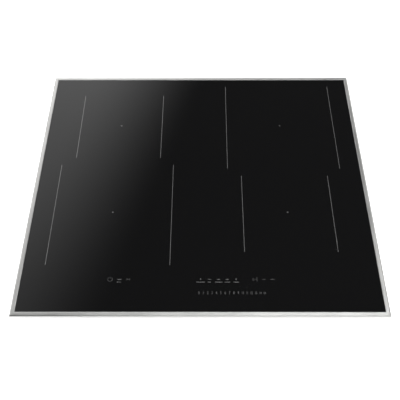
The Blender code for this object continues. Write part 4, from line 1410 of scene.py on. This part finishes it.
@dataclass
class Coils:
    """Flat spiral windings with the ferrite bars under them."""

    winding: bpy.types.Material
    ferrite: bpy.types.Material
    hole: float = 0.0272
    gap: float = 0.0002
    bars: int = 8
    bar_width: float = 0.013
    bar_start: float = 0.010
    bar_margin: float = 0.018
    bar_sunk: float = 0.0008
    clearance: float = 0.00003

    def spiral(self) -> GeometryRecipe:
        """Tree for one flat winding."""
        tree = GeometryRecipe("flat_winding")
        inner = tree.number("Inner Radius", self.hole)
        outer = tree.number("Outer Radius", 0.09)
        wire = tree.number("Wire Radius", 0.0017)
        turns = tree.math("DIVIDE", tree.math("SUBTRACT", outer, inner),
                          tree.math("ADD", tree.math("MULTIPLY", wire, 2.0), self.gap))
        path = tree.node("GeometryNodeCurveSpiral", {
            "Resolution": 40, "Rotations": turns, "Start Radius": inner, "End Radius": outer,
            "Height": 0.0})
        tree.end(tree.tube(path.outputs[0], wire), self.winding)
        return tree

    def star(self) -> GeometryRecipe:
        """Tree for the bars laid out like spokes."""
        tree = GeometryRecipe("ferrite_star")
        radius = tree.number("Middle Radius", 0.055)
        length = tree.number("Bar Length", 0.04)
        width = tree.number("Bar Width", self.bar_width)
        height = tree.number("Bar Height", 0.003)
        count = tree.number("Bars", self.bars)
        bar = tree.node("GeometryNodeMeshCube", {"Size": tree.vector(length, width, height)})
        moved = tree.node("GeometryNodeTransform", {
            "Geometry": bar.outputs["Mesh"], "Translation": tree.vector(radius, 0.0, 0.0)})
        hub = tree.node("GeometryNodeMeshLine", {"Count": count})
        step = tree.math("DIVIDE", math.tau, count)
        index = tree.node("GeometryNodeInputIndex").outputs[0]
        angle = tree.math("MULTIPLY", tree.math("ADD", index, 0.5), step)
        turn = tree.node("FunctionNodeEulerToRotation", {0: tree.vector(0.0, 0.0, angle)})
        middle = tree.node("GeometryNodeSetPosition", {"Geometry": hub.outputs[0],
                                                       "Position": tree.vector(0.0, 0.0, 0.0)})
        copies = tree.node("GeometryNodeInstanceOnPoints", {
            "Points": middle.outputs[0], "Instance": moved.outputs[0],
            "Rotation": turn.outputs[0]})
        tree.end(copies.outputs[0], self.ferrite)
        return tree

    def build(self) -> None:
        """Wind the four coils."""
        spiral, star = self.spiral(), self.star()
        for zone in ZONES:
            box = Box.of(f"coil_winding_{zone}")
            wire = box.size.z / 2 - self.clearance
            outer = box.size.x / 2 - wire
            obj = spiral.bake(f"winding_{zone}", {"Inner Radius": self.hole + wire,
                                                  "Outer Radius": outer, "Wire Radius": wire},
                              shift=box.centre, sharp=50.0)
            adopt(obj, Body.HOUSING, [f"coil_winding_{zone}"])
            carrier = Box.of(f"coil_carrier_{zone}")
            length = outer - self.hole - self.bar_margin
            bars = star.bake(f"ferrite_{zone}", {
                "Middle Radius": self.hole + self.bar_start + length / 2,
                "Bar Length": length, "Bar Height": carrier.size.z - self.bar_sunk},
                shift=carrier.centre)
            adopt(bars, Body.HOUSING)


@dataclass
class Toroids:
    """Ring cores wound with enamelled wire."""

    wire_finish: bpy.types.Material
    core_finish: bpy.types.Material
    wire: float = 0.0007
    turns: int = 26
    steps: int = 14

    def winding(self) -> GeometryRecipe:
        """Tree for a wire wound round a ring."""
        tree = GeometryRecipe("toroid_winding")
        major = tree.number("Ring Radius", 0.015)
        minor = tree.number("Turn Radius", 0.005)
        wire = tree.number("Wire Radius", self.wire)
        turns = tree.number("Turns", self.turns)
        count = tree.math("MULTIPLY", turns, float(self.steps))
        path = tree.node("GeometryNodeCurvePrimitiveCircle", {"Resolution": count,
                                                              "Radius": major})
        index = tree.node("GeometryNodeInputIndex").outputs[0]
        along = tree.math("MULTIPLY", tree.math("DIVIDE", index, count), math.tau)
        round_it = tree.math("MULTIPLY", along, turns)
        reach = tree.math("ADD", major, tree.math("MULTIPLY", minor,
                                                  tree.math("COSINE", round_it)))
        place = tree.vector(tree.math("MULTIPLY", reach, tree.math("COSINE", along)),
                            tree.math("MULTIPLY", reach, tree.math("SINE", along)),
                            tree.math("MULTIPLY", minor, tree.math("SINE", round_it)))
        bent = tree.node("GeometryNodeSetPosition", {"Geometry": path.outputs[0],
                                                     "Position": place})
        tree.end(tree.tube(bent.outputs[0], wire, 6, False), self.wire_finish)
        return tree

    def core(self) -> GeometryRecipe:
        """Tree for the bare ring."""
        tree = GeometryRecipe("toroid_core")
        major = tree.number("Ring Radius", 0.015)
        minor = tree.number("Core Radius", 0.0045)
        path = tree.node("GeometryNodeCurvePrimitiveCircle", {"Resolution": 40, "Radius": major})
        tree.end(tree.tube(path.outputs[0], minor, 14, False), self.core_finish)
        return tree

    def build(self) -> None:
        """Wind the three chokes."""
        winding, core = self.winding(), self.core()
        for node in ("power_choke_left", "power_choke_right", "filter_choke"):
            box = Box.of(node)
            minor = box.size.z / 2 - self.wire
            major = box.size.x / 2 - minor - self.wire
            coil = winding.bake(f"{node}_wire", {"Ring Radius": major, "Turn Radius": minor},
                                shift=box.centre, sharp=70.0)
            adopt(coil, Body.HOUSING, [node])
            ring = core.bake(f"{node}_core", {"Ring Radius": major,
                                              "Core Radius": minor - self.wire * 0.8},
                             shift=box.centre)
            adopt(ring, Body.HOUSING)


@dataclass
class BoardParts:
    """Small parts soldered on the boards, and the contact springs of the touch keys."""

    chip: bpy.types.Material
    can: bpy.types.Material
    spring: bpy.types.Material
    pitch: float = 0.0075
    power_area: tuple[Point2, Point2] = ((-0.002, -0.093), (0.078, -0.031))
    can_start: Point2 = (-0.060, 0.022)
    can_step: Point2 = (-0.013, 0.016)
    cans_each: int = 4
    control_side: float = 0.02
    control_strip: Point2 = (0.014, 0.028)
    small_chip: Point2 = (0.0036, 0.001)
    spring_radius: float = 0.0026
    spring_wire: float = 0.0003

    def chips(self) -> GeometryRecipe:
        """Tree that sets blocks of random size on a random half of the seeds."""
        tree = GeometryRecipe("board_chips")
        length = tree.number("Length", 0.0052)
        height = tree.number("Height", 0.0016)
        block = tree.domed(tree.math("MULTIPLY", length, 0.62), height, 4, 0.12)
        square = tree.node("GeometryNodeTransform", {
            "Geometry": block, "Rotation": tree.vector(0.0, 0.0, math.pi / 4),
            "Scale": tree.vector(1.0, 0.6, 1.0)}).outputs[0]
        quarter = tree.math("MULTIPLY", tree.math("ROUND", tree.random(0.0, 3.0, 7)),
                            math.pi / 2)
        copies = tree.scatter(square, spin=quarter)
        grown = tree.node("GeometryNodeScaleInstances", {
            "Instances": copies, "Scale": tree.vector(tree.random(0.35, 1.0, 9),
                                                      tree.random(0.5, 1.0, 10),
                                                      tree.random(0.5, 1.0, 11))})
        drop = tree.math("GREATER_THAN", tree.random(0.0, 1.0, 12), 0.62)
        kept = tree.node("GeometryNodeDeleteGeometry", {"Geometry": grown.outputs[0],
                                                        "Selection": drop}, domain="INSTANCE")
        tree.end(kept.outputs[0], self.chip)
        return tree

    def cans(self) -> GeometryRecipe:
        """Tree that sets a domed can on each seed."""
        tree = GeometryRecipe("board_cans")
        radius = tree.number("Can Radius", 0.0045)
        height = tree.number("Can Height", 0.012)
        tree.end(tree.scatter(tree.domed(radius, height, 20, 0.09)), self.can)
        return tree

    def springs(self) -> GeometryRecipe:
        """Tree that sets a wound spring on each seed."""
        tree = GeometryRecipe("touch_springs")
        radius = tree.number("Spring Radius", self.spring_radius)
        height = tree.number("Spring Height", 0.008)
        turns = tree.number("Turns", 5)
        path = tree.node("GeometryNodeCurveSpiral", {
            "Resolution": 14, "Rotations": turns, "Start Radius": radius,
            "End Radius": tree.math("MULTIPLY", radius, 0.8), "Height": height})
        tree.end(tree.scatter(tree.tube(path.outputs[0], self.spring_wire, 6)), self.spring)
        return tree

    def grid(self, low: Point2, high: Point2, z: float) -> list[Point3]:
        """Points of an even grid in a rectangle."""
        counts = [max(1, round((b - a) / self.pitch)) for a, b in zip(low, high)]
        return [(low[0] + (high[0] - low[0]) * (i + 0.5) / counts[0],
                 low[1] + (high[1] - low[1]) * (j + 0.5) / counts[1], z)
                for i in range(counts[0]) for j in range(counts[1])]

    def build(self, keys: Sequence[float], row: float) -> None:
        """Fit the parts.

        Args:
            keys: where along X each touch key is.
            row: the keys' place along Y.
        """
        chips, cans, springs = self.chips(), self.cans(), self.springs()
        for hand in HANDS:
            board = Box.of(f"power_board_{hand}")
            middle = board.centre.xy
            low, high = (middle + Vector(corner) for corner in self.power_area)
            points = self.grid(low, high, board.high.z)
            adopt(chips.bake(f"board_chips_{hand}", {}, seeds(points)), Body.HOUSING)
            spots = [(middle.x + self.can_start[0] + self.can_step[0] * (i % 2),
                      middle.y + self.can_start[1] + self.can_step[1] * (i // 2),
                      board.high.z) for i in range(self.cans_each)]
            adopt(cans.bake(f"board_cans_{hand}", {}, seeds(spots)), Body.HOUSING)
        control = Box.of("control_board")
        near, far = self.control_strip
        points = self.grid((control.low.x + self.control_side, control.low.y + near),
                           (control.high.x - self.control_side, control.low.y + far),
                           control.high.z)
        length, height = self.small_chip
        adopt(chips.bake("control_chips", {"Length": length, "Height": height}, seeds(points)),
              Body.HOUSING)
        height = Box.of("glass_bond").low.z - control.high.z - self.spring_wire * 2
        spots = [(x, row, control.high.z + self.spring_wire) for x in keys]
        adopt(springs.bake("touch_springs", {"Spring Height": height}, seeds(spots), sharp=70.0),
              Body.HOUSING)


@dataclass
class TrayDetails:
    """Foam seal under the frame, rims of the air slots, rings and plate on the underside."""

    foam: bpy.types.Material
    sheet: bpy.types.Material
    plate: bpy.types.Material
    cover: bpy.types.Material
    seal_width: float = 0.009
    seal_corner: float = 0.006
    slots: int = 12
    slot_pitch: float = 0.0075
    slot_size: Point2 = (0.0034, 0.012)
    slot_z: float = 0.025
    vents: Point2 = (0.155, 0.150)
    vent_radius: float = 0.0345
    vent_bead: float = 0.0008
    vent_press: float = 0.35
    vent_lift: float = 0.0001
    bead: float = 0.00035
    wall_inset: float = 0.011
    plate_low: Point3 = (0.045, -0.150, -0.0002)
    plate_high: Point3 = (0.125, -0.098, 0.0002)
    plate_corner: float = 0.003
    ribs: int = 7
    rib_start: float = 0.012
    rib_pitch: float = 0.0045
    rib_width: float = 0.0012
    rib_margin: float = 0.010
    rib_depth: Point2 = (-0.00025, 0.0004)
    rib_round: float = 0.0002

    def loop(self, name: str, material: bpy.types.Material) -> GeometryRecipe:
        """Tree that sweeps a round bead along a rounded rectangle on each seed.

        Args:
            name: the tree's name.
            material: its finish.

        Returns:
            The tree.
        """
        tree = GeometryRecipe(name)
        width, height = tree.number("Width", 0.0034), tree.number("Height", 0.012)
        corner, bead = tree.number("Corner", 0.0016), tree.number("Bead", self.bead)
        turn = tree.number("Turn X", 0.0)
        flat = tree.number("Bead Height", 1.0)
        box = tree.node("GeometryNodeCurvePrimitiveQuadrilateral", {"Width": width,
                                                                    "Height": height})
        path = tree.node("GeometryNodeFilletCurve", {"Curve": box.outputs[0], "Count": 8,
                                                     "Radius": corner}, mode="POLY")
        swept = tree.tube(path.outputs[0], bead, 10, False)
        pressed = tree.node("GeometryNodeTransform", {
            "Geometry": swept, "Scale": tree.vector(1.0, 1.0, flat)})
        tree.end(tree.scatter(pressed.outputs[0], turn), material)
        return tree

    def build(self) -> None:
        """Make the seal, the rims, the rings, the blank plate and the cover's ribs."""
        seal = Box.of("worktop_seal")
        half = self.seal_width / 2
        foam = self.loop("seal_loop", self.foam)
        obj = foam.bake("foam_seal", {
            "Width": seal.size.x - self.seal_width, "Height": seal.size.y - self.seal_width,
            "Corner": self.seal_corner, "Bead": half,
            "Bead Height": seal.size.z / self.seal_width}, seeds([tuple(seal.centre)]), sharp=50.0)
        adopt(obj, Body.HOUSING, ["worktop_seal"])
        rims = self.loop("slot_rims", self.sheet)
        front = Box.of("bottom_tray").low.y + self.wall_inset
        spots = [(side * self.vents[0] + (i - (self.slots - 1) / 2) * self.slot_pitch, front,
                  self.slot_z) for side in (-1, 1) for i in range(self.slots)]
        obj = rims.bake("slot_rims", {
            "Width": self.slot_size[0] + self.bead, "Height": self.slot_size[1] + self.bead,
            "Turn X": math.pi / 2}, seeds(spots), sharp=50.0)
        adopt(obj, Body.HOUSING)
        rings = [(side * self.vents[0], self.vents[1], self.vent_lift) for side in (-1, 1)]
        obj = rims.bake("vent_rings", {
            "Width": self.vent_radius * 2, "Height": self.vent_radius * 2,
            "Corner": self.vent_radius * 0.98, "Bead": self.vent_bead,
            "Bead Height": self.vent_press}, seeds(rings), sharp=50.0)
        adopt(obj, Body.HOUSING)
        self.flat_plate()
        self.cover_ribs()

    def flat_plate(self) -> None:
        """Blank plate on the underside."""
        body = bmesh.new()
        add_box(body, self.plate_low, self.plate_high)
        upright = [edge for edge in body.edges
                   if edge.verts[0].co.xy == edge.verts[1].co.xy]
        bmesh.ops.bevel(body, geom=upright, offset=self.plate_corner, segments=5, profile=0.5,
                        affect="EDGES")
        adopt(object_from("blank_plate", body, self.plate), Body.HOUSING)

    def cover_ribs(self) -> None:
        """Shallow ribs across the terminal cover."""
        box = Box.of("terminal_cover")
        body = bmesh.new()
        bottom, top = (box.low.z + depth for depth in self.rib_depth)
        for i in range(self.ribs):
            y = box.low.y + self.rib_start + i * self.rib_pitch
            ends = [(box.low.x + self.rib_margin, y), (box.high.x - self.rib_margin, y)]
            add_stroke(body, ends, self.rib_width, bottom, top)
        bmesh.ops.bevel(body, geom=body.edges[:], offset=self.rib_round, segments=2,
                        profile=0.5, affect="EDGES")
        bmesh.ops.recalc_face_normals(body, faces=body.faces)
        adopt(object_from("cover_ribs", body, self.cover), Body.COVER)


# ------------------------------------------------------------------------------ studio
@dataclass
class Camera:
    """View from above the user's side of the cooktop."""

    above_glass: float = 0.86626
    back: float = 0.61549
    aside: float = 0.00712
    pitch: float = 56.518
    roll: float = 0.221
    yaw: float = 0.136
    lens: float = 52.18
    shift: float = -0.00444

    def build(self) -> None:
        """Create the camera and make it the scene's."""
        data = bpy.data.cameras.new("camera")
        data.sensor_width = 36.0
        data.lens = self.lens
        data.shift_x = self.shift
        data.clip_start = 0.01
        data.clip_end = 50.0
        camera = bpy.data.objects.new("camera", data)
        bpy.context.scene.collection.objects.link(camera)
        camera.location = (self.aside, -self.back, Box.of("glass_top").high.z + self.above_glass)
        turns = (90.0 - self.pitch, self.roll, self.yaw)
        camera.rotation_euler = [math.radians(turn) for turn in turns]
        bpy.context.scene.camera = camera


@dataclass(frozen=True)
class Softbox:
    """Rectangular soft light that faces down, or away from the user by its tilt in degrees."""

    name: str
    place: Point3
    size: Point2
    power: float
    tilt: float = 0.0

    def build(self) -> None:
        """Hang the light."""
        data = bpy.data.lights.new(self.name, "AREA")
        data.shape = "RECTANGLE"
        data.size, data.size_y = self.size
        data.energy = self.power
        light = bpy.data.objects.new(self.name, data)
        bpy.context.scene.collection.objects.link(light)
        light.location = self.place
        light.rotation_euler = (math.radians(self.tilt), 0.0, 0.0)


@dataclass
class Studio:
    """Pale floor that sweeps up all round, a plinth, soft lights and a graded reflector."""

    floor_drop: float = 0.056       # room under the tray for the terminal cover to swing
    plinth_low: Point2 = (-0.17, -0.19)
    plinth_high: Point2 = (0.17, 0.09)
    plinth_gap: float = 0.0006
    floor_radius: float = 2.6
    cove: float = 0.7
    wall: float = 0.75
    floor_glow: float = 0.80
    far_glow: tuple[float, float] = (0.08, 0.62)
    fade_start: float = 1.1
    fade_stop: float = 3.0
    world: float = 0.096
    card_height: float = 2.14
    card_low: Point2 = (-2.2, 0.3)
    card_high: Point2 = (1.6, 4.0)
    card_glow: float = 1.6
    card_line: tuple[Point2, Point2] = ((-0.50, 0.66), (0.02, 2.39))
    card_depth: tuple[Point2, Point2] = ((0.7075, 0.475), (2.4, 1.013))
    fade: float = 0.85
    steps: int = 40
    turns: int = 128
    softboxes: tuple[Softbox, ...] = (
        Softbox("overhead", (0.55, -0.25, 2.2), (1.4, 1.4), 42.0),
        Softbox("right_panel", (1.75, 1.65, 2.2), (1.1, 1.9), 16.0),
        Softbox("front_fill", (0.6, -2.0, 2.2), (2.4, 0.9), 5.0, 42.0),
        Softbox("back_strip", (0.1, 2.7, 1.5), (1.6, 0.5), 6.0, -55.0),
    )

    def sweep(self) -> bpy.types.Object:
        """Floor and low wall as one turned surface."""
        body = bmesh.new()
        base = -self.floor_drop
        profile = [(0.0, base), (self.floor_radius, base)]
        for i in range(1, self.steps + 1):
            angle = math.pi / 2 * i / self.steps
            profile.append((self.floor_radius + self.cove * math.sin(angle),
                            base + self.cove * (1 - math.cos(angle))))
        profile.append((self.floor_radius + self.cove, base + self.cove + self.wall))
        verts = [body.verts.new((x, 0.0, z)) for x, z in profile]
        edges = [body.edges.new(pair) for pair in zip(verts, verts[1:])]
        bmesh.ops.spin(body, geom=verts + edges, axis=(0, 0, 1), cent=(0, 0, 0),
                       angle=math.tau, steps=self.turns)
        bmesh.ops.remove_doubles(body, verts=body.verts, dist=0.0001)
        bmesh.ops.recalc_face_normals(body, faces=body.faces)
        graph = ShaderGraph("studio_floor")
        where = graph.place()
        pale = graph.noise(where, 3.0)
        away = graph.node("VectorMath", {0: where}, operation="LENGTH").outputs["Value"]
        behind = graph.node("VectorMath", {0: where, 1: (-0.6, 0.8, 0.0)},
                            operation="DOT_PRODUCT").outputs["Value"]
        far = graph.span(behind, *self.far_glow, -1.8, 1.8)
        nearby = graph.span(away, 1.0, 0.0, self.fade_start, self.fade_stop)
        glow = graph.node("Mix", {0: nearby, 2: far, 3: self.floor_glow}).outputs[0]
        graph.surface(Base_Color=graph.tint(pale, (0.86, 0.86, 0.86), (0.90, 0.90, 0.90)),
                      Roughness=0.9, Emission_Color=(1.0, 1.0, 1.0, 1.0),
                      Emission_Strength=glow)
        return object_from("studio_floor", body, graph.material, 60)

    def plinth(self) -> bpy.types.Object:
        """Pale block that carries the tray, clear of the cover and the clamps."""
        body = bmesh.new()
        add_box(body, (*self.plinth_low, -self.floor_drop),
                (*self.plinth_high, -self.plinth_gap))
        bmesh.ops.bevel(body, geom=body.edges[:], offset=0.003, segments=3, profile=0.5,
                        affect="EDGES")
        paint = Moulded("studio_plinth", (0.78, 0.78, 0.78), 0.7, 0.85, 400.0, 0.0001, 0.04)
        return object_from("studio_plinth", body, paint.material())

    def reflector(self) -> bpy.types.Object:
        """Card above the back, bright at its far left and fading towards the middle."""
        height = Box.of("glass_top").high.z + self.card_height
        left, near = self.card_low
        right, far = self.card_high
        body = bmesh.new()
        corners = [(left, near), (right, near), (right, far), (left, far)]
        body.faces.new([body.verts.new((x, y, height)) for x, y in corners])
        return object_from("studio_reflector", body, self.graded_light())

    def graded_light(self) -> bpy.types.Material:
        """Emission that rises to the left of a slanting line, and more so far back."""
        graph = ShaderGraph("graded_light")
        where = graph.node("TexCoord").outputs["Object"]
        parts = graph.node("SeparateXYZ", {"Vector": where}).outputs
        near, far = (Vector(end) for end in self.card_line)
        slope = (far.x - near.x) / (far.y - near.y)
        lean = graph.node("Math", {0: parts["Y"], 1: slope, 2: near.x - near.y * slope},
                          operation="MULTIPLY_ADD").outputs[0]
        left = graph.node("Math", {0: lean, 1: parts["X"]}, operation="SUBTRACT").outputs[0]
        rise = graph.node("MapRange", {"Value": left, "From Min": 0.0, "From Max": self.fade,
                                       "To Min": 0.0, "To Max": self.card_glow},
                          interpolation_type="SMOOTHSTEP").outputs["Result"]
        (start, low), (stop, high) = self.card_depth
        depth = graph.span(parts["Y"], low, high, start, stop)
        level = graph.node("Math", {0: rise, 1: depth, 2: self.world},
                           operation="MULTIPLY_ADD").outputs[0]
        glow = graph.node("Emission", {"Strength": level})
        output = next(node for node in graph.tree.nodes if node.type == "OUTPUT_MATERIAL")
        graph.tree.links.new(glow.outputs[0], output.inputs["Surface"])
        return graph.material

    def build(self) -> None:
        """Set up the floor, the world and the lights."""
        bpy.context.scene.view_settings.view_transform = "Standard"
        world = bpy.data.worlds.new("studio")
        world.use_nodes = True
        world.node_tree.nodes["Background"].inputs["Color"].default_value = (1, 1, 1, 1)
        world.node_tree.nodes["Background"].inputs["Strength"].default_value = self.world
        bpy.context.scene.world = world
        self.sweep()
        self.plinth()
        self.reflector()
        for softbox in self.softboxes:
            softbox.build()


def main() -> None:
    """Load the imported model, dress it and light it."""
    logging.basicConfig(level=logging.INFO, format="%(name)s %(message)s")
    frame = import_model()
    Camera().build()
    Studio().build()
    wardrobe = Wardrobe()
    wardrobe.dress(frame)
    SteelFrame(BrushedSteel()).build()
    GlassTop(BlackGlass(), Moulded("seam_silicone", (0.008, 0.008, 0.008), 0.4, 0.55)).build()
    ZoneMarks(FiredPrint("line_print", (0.125, 0.125, 0.125)).material()).build()
    controls = TouchControls(
        sign=FiredPrint("sign_print", (0.165, 0.165, 0.165)).material(),
        label=FiredPrint("label_print", (0.15, 0.15, 0.15)).material(),
        faint=FiredPrint("scale_print", (0.085, 0.085, 0.085)).material(),
    )
    controls.build()
    SoftEdges(frame, wardrobe).build()
    finishes = wardrobe.materials
    ferrite = Moulded("ferrite", (0.035, 0.034, 0.033), 0.5, 0.7).material()
    Coils(finishes["litz_copper"], ferrite).build()
    Toroids(finishes["choke_winding"], ferrite).build()
    BoardParts(Moulded("chip_resin", (0.018, 0.018, 0.019), 0.35, 0.5).material(),
               SheetMetal("can_sleeve", (0.30, 0.31, 0.33), 0.3, 0.4).material(),
               finishes["plated_steel"]).build(controls.places(), Box.of("glass_top").low.y
                                               + controls.row)
    Screws(finishes["plated_steel"]).build()
    TrayDetails(finishes["seal_foam"], finishes["tray_steel"],
                SheetMetal("plate_foil", (0.62, 0.62, 0.62), 0.35, 0.45, 90.0, 0.05).material(),
                finishes["cover_plastic"]).build()


if __name__ == "__main__":
    main()
